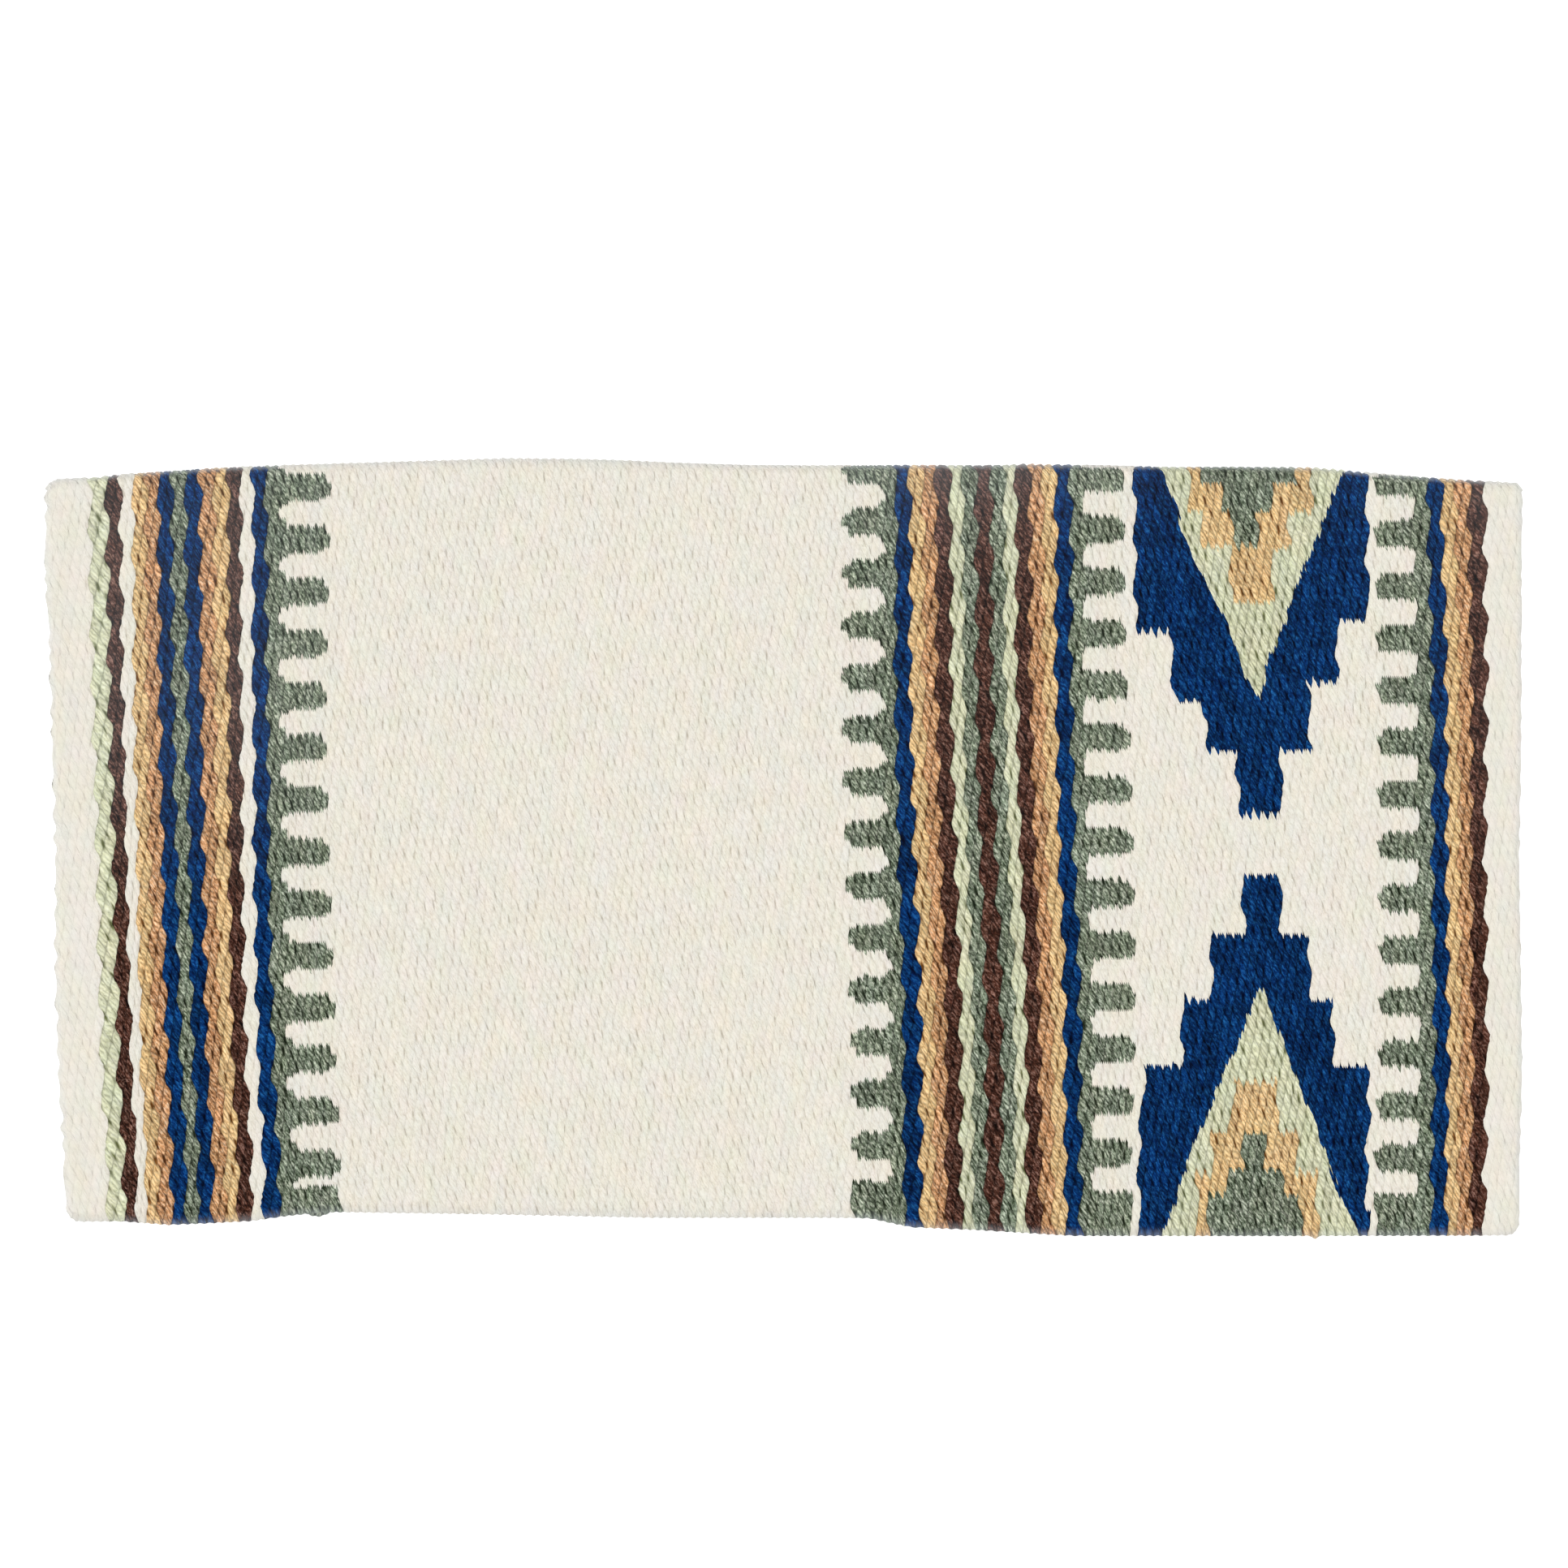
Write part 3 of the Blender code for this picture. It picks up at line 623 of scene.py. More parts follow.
    def note_edges_and_sheen_haze(self, down, rolled, turned):
        """How far each place is on an edge or on the fold, and how strong the painted sheen haze is
        there.
        """
        self.inner_edge = smooth_step(EDGE_SPREAD * rolled)
        self.outer_edge = np.maximum(self.inner_edge, smooth_step(EDGE_SPREAD * turned))
        to_fold = np.clip(down - self.crease, 0, None)
        fade = 1 - smooth_step((to_fold - SHEEN_HAZE_SHOULDER) / SHEEN_HAZE_FADE)
        self.sheen_haze = table_value(SHEEN_HAZE_FAR, self.share) * fade
        self.sheen_haze += table_value(SHEEN_HAZE_NEAR_FOLD, self.share) * np.exp(-to_fold / SHEEN_HAZE_REACH)

    def raise_surfaces(self, yarns):
        """The outer and inner point of each place, round the fold and out to the rounded edges."""
        x, down, rolled = self.round_corners()
        thin = np.maximum(np.sqrt(np.clip(1 - rolled**2, 0, 1)), EDGE_WALL_SHARE)

        # The outer face turns round the fold, and the inner one round a small loop, which is shut
        # where the crease lies behind the hinge
        centre_y = FOLD_Y - self.crease
        centre_z = FLOOR_Z + FOLD_RADIUS
        angle = math.pi / 2 * np.clip((self.crease - down) / self.quarter, 0, 1)
        sign = np.where(self.upper, 1.0, -1.0)
        flat = down > self.crease
        self.note_edges_and_sheen_haze(down, rolled, np.where(flat, 0, angle / (math.pi / 2)))
        shut = smooth_step((self.crease - FOLD_RADIUS) / LOOP_FADE)
        outer_y = np.where(flat, FOLD_Y - down, centre_y + self.bulge * np.sin(angle))
        outer_z = centre_z + sign * np.maximum(FOLD_RADIUS * np.cos(angle), FOLD_PARTING * shut)
        opening = np.clip(1 - (down - self.crease) / LOOP_REACH, 0, 1)
        loop = LOOP_RADIUS + (LAYER_GAP / 2 - LOOP_RADIUS) * shut
        round_y = centre_y - loop + loop * np.sin(angle)
        inner_y = np.where(flat, FOLD_Y - down - loop * opening, round_y)
        rise = LAYER_GAP / 2 + (loop - LAYER_GAP / 2) * smooth_step(opening)
        round_z = np.maximum(loop * np.cos(angle), LAYER_GAP / 2 * shut)
        inner_z = centre_z + sign * np.where(flat, rise, round_z)

        # From there the points move along the thickness: thinner edges, stitches and slow waves
        outer = np.stack([x, outer_y, outer_z], axis=-1)
        inner = np.stack([x, inner_y, inner_z], axis=-1)
        middle = (outer + inner) / 2
        half = (outer - inner) / 2
        size = np.linalg.norm(half, axis=-1)
        normal = half / size[..., None]
        depth = self.yarn_heights(yarns) * relief(self.pick, self.cord)
        across = np.cos(math.pi / 2 * (self.pick - self.cord))
        valley = 1 - np.abs(across + np.cos(math.pi * self.cord)) / 2
        depth += FOLD_LUMP * valley * np.where(flat, 0, np.sin(angle) ** 4)
        wave = wander(self.x * WAVE_STRETCH, self.along * WAVE_STRETCH, 23)
        wave = BROAD_WAVE * (1 + wave)
        lift = (SURFACE_LIFT - depth - wave) * (EDGE_RELIEF + (1 - EDGE_RELIEF) * thin)
        self.outer = middle + normal * (size * thin + lift)[..., None]
        inner_depth = depth * np.where(flat, 1 - opening, 0.0)
        self.inner = middle - normal * (size * thin - inner_depth)[..., None]

    def find_normals(self):
        """Normals of the whole cloth, so that pieces that meet are shaded as one."""
        outer = self.outer.reshape(-1, 3)
        inner = self.inner.reshape(-1, 3)
        self.rim = walls(self.quads)
        start, end = self.rim.T
        rim_normals = np.cross(inner[start] - outer[end], inner[end] - outer[start])
        self.outer_normals = np.zeros_like(outer)
        self.inner_normals = np.zeros_like(inner)
        faces_of = (outer, self.outer_normals, 1), (inner, self.inner_normals, -1)
        for points, normals, sign in faces_of:
            top, left, bottom, right = (points[self.quads[:, k]] for k in range(4))
            faces = sign * np.cross(bottom - top, right - left)
            for axis in range(3):
                for k in range(4):
                    normals[:, axis] += np.bincount(self.quads[:, k], faces[:, axis], len(points))
                for ends in (start, end):
                    normals[:, axis] += np.bincount(ends, rim_normals[:, axis], len(points))
            normals /= np.maximum(np.linalg.norm(normals, axis=1), 1e-12)[:, None]

    def round_lines(self, labels, turns):
        """Rounds the lines where diamonds of different labels meet side by side."""
        starts = self.quads.ravel()
        ends = np.roll(self.quads, -1, axis=1).ravel()
        size = self.pick.size
        key = np.minimum(starts, ends) * size + np.maximum(starts, ends)
        order = np.argsort(key, kind="stable")
        label = np.repeat(labels, 4)[order]
        key = key[order]
        split = (key[1:] == key[:-1]) & (label[1:] != label[:-1])
        first, second = np.divmod(key[1:][split], size)
        both = np.concatenate([first, second])
        other = np.concatenate([second, first])
        order = np.argsort(both, kind="stable")
        point, start, count = np.unique(both[order], return_index=True, return_counts=True)
        point, start = point[count == 2], start[count == 2]
        before, after = other[order[start]], other[order[start + 1]]
        step = self.outer.reshape(-1, 3)[after] - self.outer.reshape(-1, 3)[before]
        upright = np.hypot(step[:, 1], step[:, 2]) > UPRIGHT_SLOPE * np.abs(step[:, 0])
        point, before, after = point[upright], before[upright], after[upright]
        chance = stitch_chance(self.pick.ravel()[point], self.cord.ravel()[point])
        for surface in (self.outer, self.inner):
            points = surface.reshape(-1, 3)
            for _ in range(turns):
                points[point] = points[point] / 2 + (points[before] + points[after]) / 4
            points[point, 0] += RAGGED_EDGE * (chance - 0.5)


def outline_in_picks(outline):
    """An outline with picks in place of its shares. An upright side keeps to one pick."""
    every_pick = np.arange(LAST_PICK + 1.0)
    shares, parts = zip(*outline)
    picks = []
    for share, part in outline:
        places = share_across(every_pick, np.full_like(every_pick, part * DEPTH))
        picks.append(np.interp(share, places, every_pick))
    for first, second in zip(range(len(picks)), [*range(1, len(picks)), 0]):
        if shares[first] == shares[second]:
            picks[first] = picks[second] = round((picks[first] + picks[second]) / 2)
    return tuple(zip(picks, parts))


def inside_outline(outline, pick, part):
    """Which places, by pick and part of the depth, an outline holds."""
    held = np.zeros(pick.shape, bool)
    for (x0, y0), (x1, y1) in zip(outline, outline[1:] + outline[:1]):
        crosses = (y0 > part) != (y1 > part)
        if y0 != y1:
            held ^= crosses & (pick < x0 + (part - y0) / (y1 - y0) * (x1 - x0))
    return held


def colour_cloth(cloth):
    """For each diamond, the name of the piece that it belongs to and its yarn."""
    quads = cloth.quads
    pick = cloth.pick.ravel()[quads[:, [0, 2]]].mean(axis=1)
    cord = cloth.cord.ravel()[quads[:, [0, 2]]].mean(axis=1)
    down = cloth.down.ravel()[quads].mean(axis=1)
    hem = cloth.hem.ravel()[quads].mean(axis=1)
    upper = cloth.upper.ravel()[quads].mean(axis=1) > 0.5
    stitch_pick, stitch_cord = cell_of(pick, cord)
    away = np.where(upper, 1, -1)

    def toothed(level, height):
        """How far a place is past an edge at a level down, where the stitches' ends make teeth."""
        edge_cord = np.round(cord + (level - down) * away / CORD_PITCH)
        tooth = ((pick - cord) / 4 - edge_cord / 2) % 1
        chance = stitch_chance(np.round(pick / 4 + 0.5), edge_cord)
        length = height * (1 + NOTCH_VARIETY * (2 * chance - 1))
        return down - level + length * (1 - 4 * np.abs(tooth - 0.5)) / 2

    bands = [
        (name, yarn, end)
        for _, *stripes in STRIPES
        for name, *yarn_ends in stripes
        for yarn, end in zip(yarn_ends[::2], yarn_ends[1::2])
    ]
    names, yarns, ends = zip(*bands)
    which = np.searchsorted(ends, stitch_pick, side="right").clip(0, len(ends) - 1)
    piece = np.array(names, object)[which]
    yarn = np.array(yarns, object)[which]

    for comb, behind, foot, tip, first_tooth, last_tooth in COMBS:
        turn = np.round(down / TOOTH_PITCH - first_tooth)
        middle = (turn + first_tooth) * TOOTH_PITCH
        in_last = toothed(hem - last_tooth, COMB_NOTCH) > 0
        in_tooth = toothed(middle - TOOTH_HEIGHT / 2, COMB_NOTCH) > 0
        in_tooth &= toothed(middle + TOOTH_HEIGHT / 2, COMB_NOTCH) < 0
        from_middle = np.abs(down - middle) / (TOOTH_HEIGHT / 2)
        in_gap = np.clip((from_middle - 1) * TOOTH_HEIGHT / (TOOTH_PITCH - TOOTH_HEIGHT), 0, 1)
        forward = 1 if tip > foot else -1
        past_foot = (stitch_pick - foot) * forward >= COMB_ROUNDING * (1 - in_gap) ** 2
        tip_round = COMB_ROUNDING * np.where(in_last, 0, from_middle**2)
        past_tip = (tip - stitch_pick) * forward <= tip_round
        bare = (piece == comb) & np.where(in_tooth | in_last, past_tip, past_foot)
        piece[bare] = behind
        yarn[bare] = "cream"

    ground = piece == "ground"
    for place, motif in (("spine", SPINE_MOTIF), ("hem", HEM_MOTIF)):
        for motif_yarn, outline in motif:
            outline = outline_in_picks(outline)
            if motif_yarn == "mint":
                uneven = stitch_chance(stitch_pick, stitch_cord) - 0.5
                held = ground & inside_outline(outline, pick + V_UNEVENNESS * uneven, down / DEPTH)
            else:
                levels = np.unique([part for _, part in outline if 0 < part < 1]) * DEPTH
                nearest = levels[np.abs(down[:, None] - levels).argmin(axis=1)]
                level = nearest + toothed(nearest, MOTIF_NOTCH)
                held = ground & inside_outline(outline, stitch_pick, level / DEPTH)
            side = "" if place == "spine" else "_upper"
            piece[held] = f"{place}_motif_{motif_yarn}{side}"
            yarn[held] = motif_yarn
            if place == "hem":
                piece[held & ~upper] = f"{place}_motif_{motif_yarn}_lower"
    for wide, picks in SEAM_PICKS.items():
        number = np.searchsorted(picks, stitch_pick, side="right") + 1
        rows = piece == wide
        piece[rows] = [f"{wide}_{n}" for n in number[rows]]
    return piece, yarn


def walls(quads):
    """The edges that only one of the diamonds has, each as two points in the diamond's order."""
    starts = quads.ravel()
    ends = np.roll(quads, -1, axis=1).ravel()
    low = np.minimum(starts, ends)
    high = np.maximum(starts, ends)
    key = low * (high.max() + 1) + high
    _, place, count = np.unique(key, return_index=True, return_counts=True)
    single = place[count == 1]
    return np.stack([starts[single], ends[single]], axis=-1)


def make_piece(name, cloth, quads, materials, choice):
    """One closed piece of cloth: the diamonds on its outer and inner face, and walls between."""
    used, places = np.unique(quads, return_inverse=True)
    faces = places.reshape(-1, 4)
    edges = walls(faces)
    count = len(used)
    points = np.concatenate([cloth.outer.reshape(-1, 3)[used], cloth.inner.reshape(-1, 3)[used]])
    start, end = edges.T
    side = np.stack([end, start, start + count, end + count], axis=-1)
    corners = np.concatenate([faces, faces[:, ::-1] + count, side])
    choices = np.concatenate([choice, choice, np.full(len(side), choice[0])])
    mesh = bpy.data.meshes.new(name)
    mesh.vertices.add(len(points))
    mesh.vertices.foreach_set("co", points.astype(np.float32).ravel())
    mesh.loops.add(corners.size)
    mesh.loops.foreach_set("vertex_index", corners.astype(np.int32).ravel())
    mesh.polygons.add(len(corners))
    mesh.polygons.foreach_set("loop_start", np.arange(0, corners.size, 4, dtype=np.int32))
    mesh.update(calc_edges=True)
    mesh.polygons.foreach_set("use_smooth", np.ones(len(corners), bool))
    mesh.polygons.foreach_set("material_index", choices.astype(np.int32))
    for material in materials:
        mesh.materials.append(material)
    cloth_places = [cloth.pick.ravel()[used], cloth.cord.ravel()[used]]
    cloth_places = np.tile(np.stack(cloth_places, axis=-1) * UV_SCALE, (2, 1))
    layer = mesh.uv_layers.new(name="Cloth")
    layer.uv.foreach_set("vector", cloth_places[corners.ravel()].astype(np.float32).ravel())
    measures = {"Edge": (cloth.outer_edge, cloth.inner_edge), "Sheen haze": (cloth.sheen_haze, cloth.sheen_haze)}
    for measure, faces_of in measures.items():
        attribute = mesh.attributes.new(measure, "FLOAT", "POINT")
        values = np.concatenate([face.ravel()[used] for face in faces_of])
        attribute.data.foreach_set("value", values.astype(np.float32))
    mesh.update()
    mesh.validate()
    outer_normals = cloth.outer_normals[used]
    inner_normals = cloth.inner_normals[used]
    flat = np.cross(points[start + count] - points[end], points[end + count] - points[start])
    flat /= np.maximum(np.linalg.norm(flat, axis=1), 1e-12)[:, None]
    rim_key = cloth.rim[:, 0] * cloth.pick.size + cloth.rim[:, 1]
    on_rim = np.isin(used[start] * cloth.pick.size + used[end], rim_key)
    round_rim = [outer_normals[end], outer_normals[start], inner_normals[start], inner_normals[end]]
    round_rim = np.stack(round_rim, axis=1)
    side_normals = np.where(on_rim[:, None, None], round_rim, flat[:, None, :])
    normals = np.concatenate([outer_normals[faces], inner_normals[faces[:, ::-1]], side_normals])
    mesh.normals_split_custom_set(normals.reshape(-1, 3))
    piece = bpy.data.objects.new(name, mesh)
    bpy.context.scene.collection.objects.link(piece)
    return piece


def nodes_behind(name):
    """The CAD nodes that a piece stands for."""
    for lower, *stripes in STRIPES:
        for stripe, *_ in stripes:
            if stripe in (name, name.rsplit("_", 1)[0]):
                for own, node in UPPER_NAMES:
                    stripe = stripe.replace(own, node)
                return f"upper_{stripe}", lower
    place, _, yarn, *side = name.split("_")
    nodes = {"upper": (f"upper_{place}_motif_{yarn}",), "lower": (f"lower_{place}_motif",)}
    return nodes[side[0]] if side else nodes["upper"] + nodes["lower"]


class Value:
    """A value in a shader. Plain arithmetic on it adds the nodes that work it out."""

    def __init__(self, wire, socket):
        self.wire = wire
        self.socket = socket

    def __add__(self, other):
        return self.wire.maths("ADD", self, other)

    def __sub__(self, other):
        return self.wire.maths("SUBTRACT", self, other)

    def __rsub__(self, other):
        return self.wire.maths("SUBTRACT", other, self)

    def __mul__(self, other):
        return self.wire.maths("MULTIPLY", self, other)

    def __truediv__(self, other):
        return self.wire.maths("DIVIDE", self, other)

    def __pow__(self, power):
        return self.wire.maths("POWER", self, power)

    def __abs__(self):
        return self.wire.maths("ABSOLUTE", self)

    __radd__ = __add__

    def part(self, low, high):
        """How far the value is from low to high, kept between 0 and 1."""
        return self.wire.between(self, low, high, 0.0, 1.0)

    def spread(self, to_low, to_high):
        """The value, which goes from 0 to 1, taken from one end of a span to the other."""
        return self.wire.between(self, 0.0, 1.0, to_low, to_high)


class Wiring:
    """Adds and joins shader nodes in one node tree."""

    def __init__(self, tree):
        self.tree = tree

    def new(self, kind):
        return self.tree.nodes.new(f"ShaderNode{kind}")

    def feed(self, socket, value):
        if isinstance(value, Value):
            self.tree.links.new(value.socket, socket)
        else:
            socket.default_value = value

    def joined(self, node, inputs, output=0):
        """One output of a node, once its inputs are fed."""
        for name, value in inputs:
            self.feed(node.inputs[name], value)
        return Value(self, node.outputs[output])

    def maths(self, operation, *values):
        node = self.new("Math")
        node.operation = operation
        return self.joined(node, enumerate(values))

    def combine(self, x, y, z=0.0):
        return self.joined(self.new("CombineXYZ"), enumerate((x, y, z)))

    def scale(self, vector, factor):
        node = self.new("VectorMath")
        node.operation = "SCALE"
        return self.joined(node, ((0, vector), ("Scale", factor)))

    def chances(self, x, y, seed):
        """Three fixed values between 0 and 1 for each cell."""
        cell = (("Vector", self.combine(x, y, seed)),)
        colour = self.joined(self.new("TexWhiteNoise"), cell, "Color")
        parts = self.new("SeparateColor")
        self.feed(parts.inputs["Color"], colour)
        return [Value(self, socket) for socket in parts.outputs]

    def noise(self, vector, kind):
        names = ("Vector", "Scale", "Detail", "Roughness", "Distortion")
        return self.joined(self.new("TexNoise"), zip(names, (vector, *NOISES[kind])), "Fac")

    def between(self, value, low, high, to_low, to_high):
        names = ("Value", "From Min", "From Max", "To Min", "To Max")
        inputs = zip(names, (value, low, high, to_low, to_high))
        return self.joined(self.new("MapRange"), inputs, "Result")

    def mix(self, factor, first, second, blend="MIX"):
        node = self.new("Mix")
        node.data_type = "RGBA"
        node.blend_type = blend
        return self.joined(node, (("Factor", factor), ("A", first), ("B", second)), "Result")

    def group(self, content, values, outputs):
        """A shader group put to use: what comes out of it, by name."""
        node = self.new("Group")
        node.node_tree = content
        for name in values:
            self.feed(node.inputs[name], values[name])
        return {name: Value(self, node.outputs[name]) for name in outputs}


def new_group(name, inputs, outputs):
    """A shader group: its wiring, what comes into it by name, and the node at its end."""
    group = bpy.data.node_groups.new(name, "ShaderNodeTree")
    for sockets, way in ((inputs, "INPUT"), (outputs, "OUTPUT")):
        for socket in sockets:
            kind = SOCKET_KINDS.get(socket, "NodeSocketFloat")
            group.interface.new_socket(name=socket, in_out=way, socket_type=kind)
    wire = Wiring(group)
    start = group.nodes.new("NodeGroupInput")
    given = {socket: Value(wire, start.outputs[socket]) for socket in inputs}
    return wire, given, group.nodes.new("NodeGroupOutput")


def make_stitch_group():
    """Masks of the weave, from places on the cloth."""
    wire, given, end = new_group("stitches", STITCH_INPUTS, MASKS)
    places = wire.new("SeparateXYZ")
    wire.feed(places.inputs[0], wire.scale(given["Cloth place"], 1 / UV_SCALE))
    pick, cord = (Value(wire, places.outputs[axis]) for axis in "XY")
    drawn_out = pick * CLOUD_STRETCH

    # Stitches lie in cells along two slanted directions, which bend a little
    lean_bend = wire.noise(wire.combine(drawn_out, cord), "lean")
    run_bend = wire.noise(wire.combine(cord, drawn_out), "run")
    lean = (pick - cord) * 0.25 + lean_bend.spread(-LEAN_BEND, LEAN_BEND)
    run = cord * 0.5 + run_bend.spread(-RUN_BEND, RUN_BEND)
    across = wire.maths("COSINE", lean * TURN)
    lengthwise = wire.maths("COSINE", run * TURN)
    first = lean + run
    second = lean - run

    # A slit between stitches, which the wool darkens as painted shade and sinks in its bump, each
    # of its own strength, size, slant and place
    slit_first = wire.maths("FLOOR", first)
    slit_second = wire.maths("FLOOR", second)
    strength, own_slant, size = wire.chances(slit_first, slit_second, 3.0)
    shift_along, shift_across, _ = wire.chances(slit_first, slit_second, 5.0)
    slit_lean = (slit_first + slit_second + 1.0) * 0.5
    slit_run = (slit_first - slit_second) * 0.5
    slit_along = run - (slit_run + shift_along.spread(-SLIT_SHIFT_ALONG, SLIT_SHIFT_ALONG))
    slit_across = lean - (slit_lean + shift_across.spread(-SLIT_SHIFT_ACROSS, SLIT_SHIFT_ACROSS))
    slit_across -= slit_along * (given["Slit slant"] + (own_slant - 0.5))
    width = size.spread(*SLIT_WIDTHS) * given["Slit width"]
    from_slit = (slit_across / width) ** 2.0 + (slit_along / SLIT_REACH) ** 2.0
    slit = wire.maths("EXPONENT", from_slit * -1.0) * strength ** given["Slit rarity"]

    # The two plies of each stitch, twisted a little differently in each
    own_first = wire.maths("ROUND", first)
    own_second = wire.maths("ROUND", second)
    own_lean = lean - (own_first + own_second) * 0.5
    own_run = run - (own_first - own_second) * 0.5
    twist, stretch, shift = wire.chances(own_first, own_second, 7.0)
    ply_bend = wire.noise(wire.combine(pick, cord * 3.0), "ply").spread(-PLY_BEND, PLY_BEND)
    ply_place = own_lean * PLY_LEAN + own_run * PLY_RUN
    ply_place += own_lean * twist.spread(*PLY_TWISTS)
    ply_place += own_run * stretch.spread(*PLY_STRETCHES)
    ply_place += shift * PLY_SHIFT
    ply = wire.maths("SINE", ply_place + ply_bend).part(-1.0, 1.0)
    middle = abs(own_lean).part(*PLY_ENDS)

    # Fine fibres along the yarn, stray hairs over it, and slow changes of shade
    chance = wire.chances(own_first, own_second, 0.0)[0]
    fine_pick, fine_cord = FIBRE_FINENESS
    fibre_place = wire.combine(
        pick + cord * FIBRE_SLANT, pick * fine_pick + cord * fine_cord, chance * FIBRE_JUMP
    )
    flat_place = wire.combine(pick * PICK_IN_CORDS, cord)
    from_hair = abs(wire.noise(flat_place, "hair") - 0.5)
    hair_places = wire.noise(flat_place, "hair place").part(*HAIR_PLACES)
    fine_pick, fine_cord = STREAK_FINENESS
    slanted = pick - cord * STREAK_SLANT
    streak_place = wire.combine(slanted * fine_pick, cord * fine_cord, 4.0)
    to_end = wire.maths("MINIMUM", pick, float(LAST_PICK) - pick)
    masks = {
        "Slit": slit,
        "Crown": abs(across + lengthwise) * 0.5,
        "Ply": ply * middle + (1.0 - middle) * PLY_MEAN,
        "Fibre": wire.noise(fibre_place, "fibre"),
        "Chance": chance,
        "Cloud": wire.noise(wire.combine(drawn_out, cord), "cloud"),
        "Inside": to_end.part(CALM_PICKS - 3.0, CALM_PICKS + 1.0),
        "Hair": from_hair.part(HAIR_WIDTH, 0.0) * hair_places,
        "Rib": wire.maths("SINE", cord * TURN),
        "Streak": wire.noise(streak_place, "streak"),
        "Tint": wire.noise(wire.combine(drawn_out, cord, 9.0), "tint"),
        "Warmth": wire.noise(wire.combine(drawn_out, cord, 21.0), "tint"),
    }
    for name in MASKS:
        wire.feed(end.inputs[name], masks[name])
    return wire.tree


def make_wool_group(stitches):
    """The colour of wool from its shades and the masks of the weave, and its bump's height."""
    inputs = ("Cloth place", *SHADE_NAMES, *CHARACTER_NAMES)
    wire, given, end = new_group("wool", inputs, ("Color", "Height"))
    masks = wire.group(stitches, {name: given[name] for name in STITCH_INPUTS}, MASKS)
    inside = masks["Inside"]
    calm = inside.spread(CALM_SHOW, 1.0)
    shade, dark, light = (given[name] for name in SHADE_NAMES)

    fibre_contrast = given["Fibre contrast"] * calm
    colour = wire.mix(masks["Fibre"].part(*DARK_FIBRES) * fibre_contrast, shade, dark)
    colour = wire.mix(masks["Fibre"].part(*LIGHT_FIBRES) * fibre_contrast, colour, light)
    # Painted shade: the slits between stitches are darkened towards the darkest fibres' colour
    colour = wire.mix(masks["Slit"] * given["Slit darkness"] * calm, colour, dark)
    colour = wire.mix(masks["Hair"] * given["Hairs"], colour, light)
    for name, ends in (("Tint", TINTS), ("Warmth", WARMTHS)):
        tint = wire.mix(masks[name].part(*TINT_SPAN), *ends)
        colour = wire.mix(1.0, colour, tint, "MULTIPLY")

    step = (masks["Chance"] - 0.5) * given["Stitch contrast"]
    cloud = (masks["Cloud"] - 0.5) * (given["Stitch contrast"] * CLOUD_SHARE)
    # Painted highlights on the plies' crowns and painted shade in the grooves between them
    ply = masks["Ply"] ** PLY_ROUNDNESS - PLY_ROUNDNESS
    ply *= given["Ply contrast"] * (calm * 2.0)
    # Painted shade in the valleys between the stitches' crowns
    valley = masks["Crown"].part(*VALLEYS) * given["Valley darkness"]
    streak = (masks["Streak"] - 0.5) * (given["Streaks"] * 2.0)
    gain = (1.0 + ply + (step * 2.0 + cloud)) * (1.0 - valley * calm)
    # Painted shade along the ribs of the end borders
    gain -= masks["Rib"] * inside.spread(END_RIB_SHADE, 0.0)
    gain = (gain + streak * calm) * inside.spread(END_GAIN, 1.0)
    wire.feed(end.inputs["Color"], wire.scale(colour, gain))

    crown, ply, fibre, slit = BUMP_SHARES
    fibre_height = wire.maths("MINIMUM", given["Fibre contrast"], 1.0) * fibre
    height = masks["Crown"] ** 0.5 * crown + masks["Ply"] * ply + masks["Fibre"] * fibre_height
    wire.feed(end.inputs["Height"], height - masks["Slit"] * slit)
    return wire.tree


def wool_material(yarn, wool):
    material = plain_material(f"{yarn} wool", SHADES[yarn][0], WOOL_ROUGHNESS)
    shader = material.node_tree.nodes["Principled BSDF"]
    wire = Wiring(material.node_tree)
    shader.inputs["Specular IOR Level"].default_value = WOOL_SPECULAR
    places = wire.new("UVMap")
    places.uv_map = "Cloth"
    values = dict(zip(CHARACTER_NAMES, CHARACTERS[yarn]))
    values.update(zip(SHADE_NAMES, ((*colour, 1) for colour in SHADES[yarn])))
    values["Cloth place"] = Value(wire, places.outputs["UV"])
    weave = wire.group(wool, values, ("Color", "Height"))

    bump = (("Strength", CHARACTERS[yarn][ROUGHNESS]), ("Distance", BUMP_DISTANCE),
            ("Height", weave["Height"]))
    wire.feed(shader.inputs["Normal"], wire.joined(wire.new("Bump"), bump))

    # Painted sheen: the colour is mixed towards a pale colour on the rolled edges, more where the
    # surface turns from the camera, and as a paler haze near the fold and towards the left end,
    # standing in for light caught in the fuzz
    slope = wire.new("LayerWeight")
    slope.inputs["Blend"].default_value = 0.5
    shown = {}
    for measure in ("Edge", "Sheen haze"):
        attribute = wire.new("Attribute")
        attribute.attribute_name = measure
        shown[measure] = Value(wire, attribute.outputs["Fac"])
    painted_sheen = Value(wire, slope.outputs["Facing"]) ** SHEEN_SPREAD * EDGE_SHEEN * shown["Edge"]
    painted_sheen += shown["Sheen haze"] * CHARACTERS[yarn][SHEEN_HAZE]
    wire.feed(shader.inputs["Base Color"], wire.mix(painted_sheen, weave["Color"], SHEEN_COLOUR))
    return material


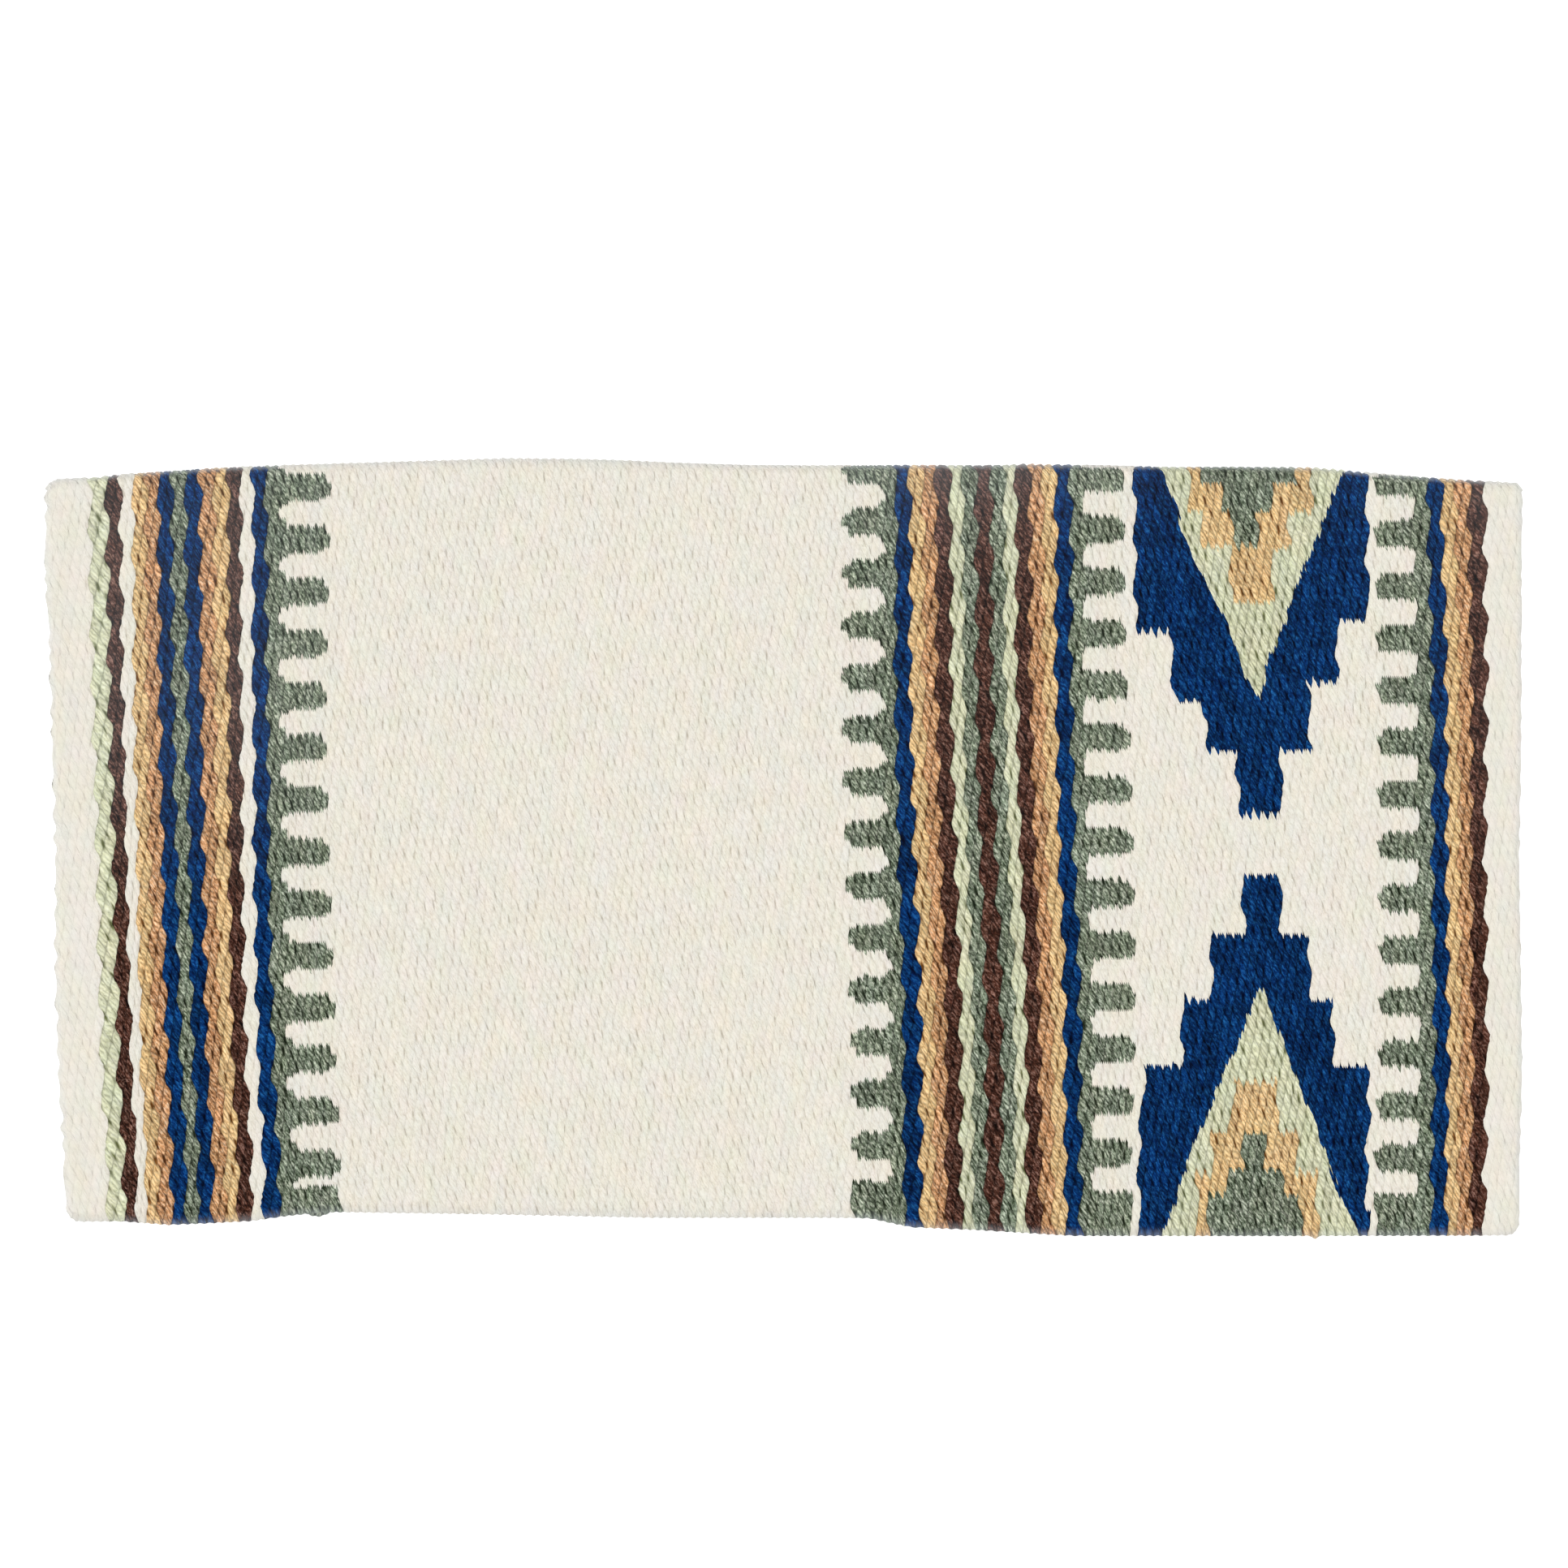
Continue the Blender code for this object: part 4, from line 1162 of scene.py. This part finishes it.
def dress_blanket():
    """Makes every piece of the cloth and ties it to the halves that it belongs to."""
    cloth = Cloth()
    piece_names, yarns = colour_cloth(cloth)
    cloth.raise_surfaces(yarns)
    labels = [f"{name} {yarn}" for name, yarn in zip(piece_names, yarns)]
    _, labels = np.unique(labels, return_inverse=True)
    cloth.round_lines(labels, 2)
    cloth.find_normals()
    wool = make_wool_group(make_stitch_group())
    materials = {yarn: wool_material(yarn, wool) for yarn in SHADES}
    made = []
    for name in sorted(set(piece_names)):
        mine = piece_names == name
        own_yarns = sorted(set(yarns[mine]))
        choice = np.array([own_yarns.index(yarn) for yarn in yarns[mine]])
        own_materials = [materials[yarn] for yarn in own_yarns]
        piece = make_piece(name, cloth, cloth.quads[mine], own_materials, choice)
        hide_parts(*nodes_behind(name))
        if name.endswith("_upper"):
            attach(piece, "upper_half")
        elif name.endswith("_lower"):
            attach(piece, "lower_half")
        else:
            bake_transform(piece)
        made.append(piece)
    main = next(piece for piece in made if piece.name == "field_2")
    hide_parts("spine_roll")
    return main, [piece for piece in made if piece is not main]


def plain_material(name, colour, roughness):
    material = bpy.data.materials.new(name)
    material.use_nodes = True
    shader = material.node_tree.nodes["Principled BSDF"]
    shader.inputs["Base Color"].default_value = (*colour, 1)
    shader.inputs["Roughness"].default_value = roughness
    return material


def seen_directly(wire):
    """1 where the camera sees a surface, straight, in a mirror or through glass."""
    kinds = ("Is Camera Ray", "Is Glossy Ray", "Is Transmission Ray")
    rays = wire.new("LightPath").outputs
    camera, glossy, transmission = (Value(wire, rays[kind]) for kind in kinds)
    return wire.maths("MAXIMUM", wire.maths("MAXIMUM", camera, glossy), transmission)


def make_floor():
    """A large white floor. The camera sees it as white, but for the object's shadow."""
    bpy.ops.object.select_all(action="DESELECT")
    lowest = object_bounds()[0][2]
    bpy.ops.mesh.primitive_plane_add(size=FLOOR_SIZE, location=(0, 0, lowest - FLOOR_GAP))
    floor = bpy.context.object
    floor.name = "floor"
    material = plain_material("white floor", (0.9, 0.9, 0.9), 0.9)
    shader = material.node_tree.nodes["Principled BSDF"]
    shader.inputs["Emission Color"].default_value = (1, 1, 1, 1)
    wire = Wiring(material.node_tree)
    wire.feed(shader.inputs["Emission Strength"], seen_directly(wire) * FLOOR_GLOW)
    floor.data.materials.append(material)


def add_sun(name, towards, strength, softness):
    """A soft light that falls from one side on the whole blanket alike."""
    sun = bpy.data.lights.new(name, "SUN")
    sun.energy = strength
    sun.angle = math.radians(softness)
    holder = bpy.data.objects.new(name, sun)
    bpy.context.scene.collection.objects.link(holder)
    level = math.hypot(towards[0], towards[1])
    holder.rotation_euler = (math.atan2(level, towards[2]), 0, math.atan2(towards[0], -towards[1]))
    holder.location = [3 * part for part in towards]


def light_scene():
    world = bpy.data.worlds.new("soft room")
    bpy.context.scene.world = world
    world.use_nodes = True
    back = world.node_tree.nodes["Background"]
    back.inputs["Color"].default_value = (1, 1, 1, 1)
    wire = Wiring(world.node_tree)
    wire.feed(back.inputs["Strength"], seen_directly(wire) * (1 - ROOM_LIGHT) + ROOM_LIGHT)
    add_sun("window", (-0.55, 0.15, 0.90), WINDOW_LIGHT, 30)
    add_sun("fill", (0.55, -0.20, 0.90), FILL_LIGHT, 60)


def place_camera():
    camera = bpy.data.cameras.new("camera")
    camera.sensor_width = SENSOR_WIDTH
    camera.lens = CAMERA_LENS
    holder = bpy.data.objects.new("camera", camera)
    bpy.context.scene.collection.objects.link(holder)
    distance = FRAME_WIDTH * CAMERA_LENS / SENSOR_WIDTH
    holder.location = (CAMERA_X, CAMERA_Y, TOP_Z + distance)
    bpy.context.scene.camera = holder


def strip_width(strip):
    """How wide a strip of the cloth is, from the picks that it has."""
    picks = [corner.vector.x / UV_SCALE for corner in strip.data.uv_layers["Cloth"].uv]
    return (max(picks) - min(picks)) / LAST_PICK * LENGTH


main, others = dress_blanket()
strip_width(main)
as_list(others)
make_floor()
light_scene()
place_camera()
bpy.context.scene.view_settings.view_transform = "Standard"
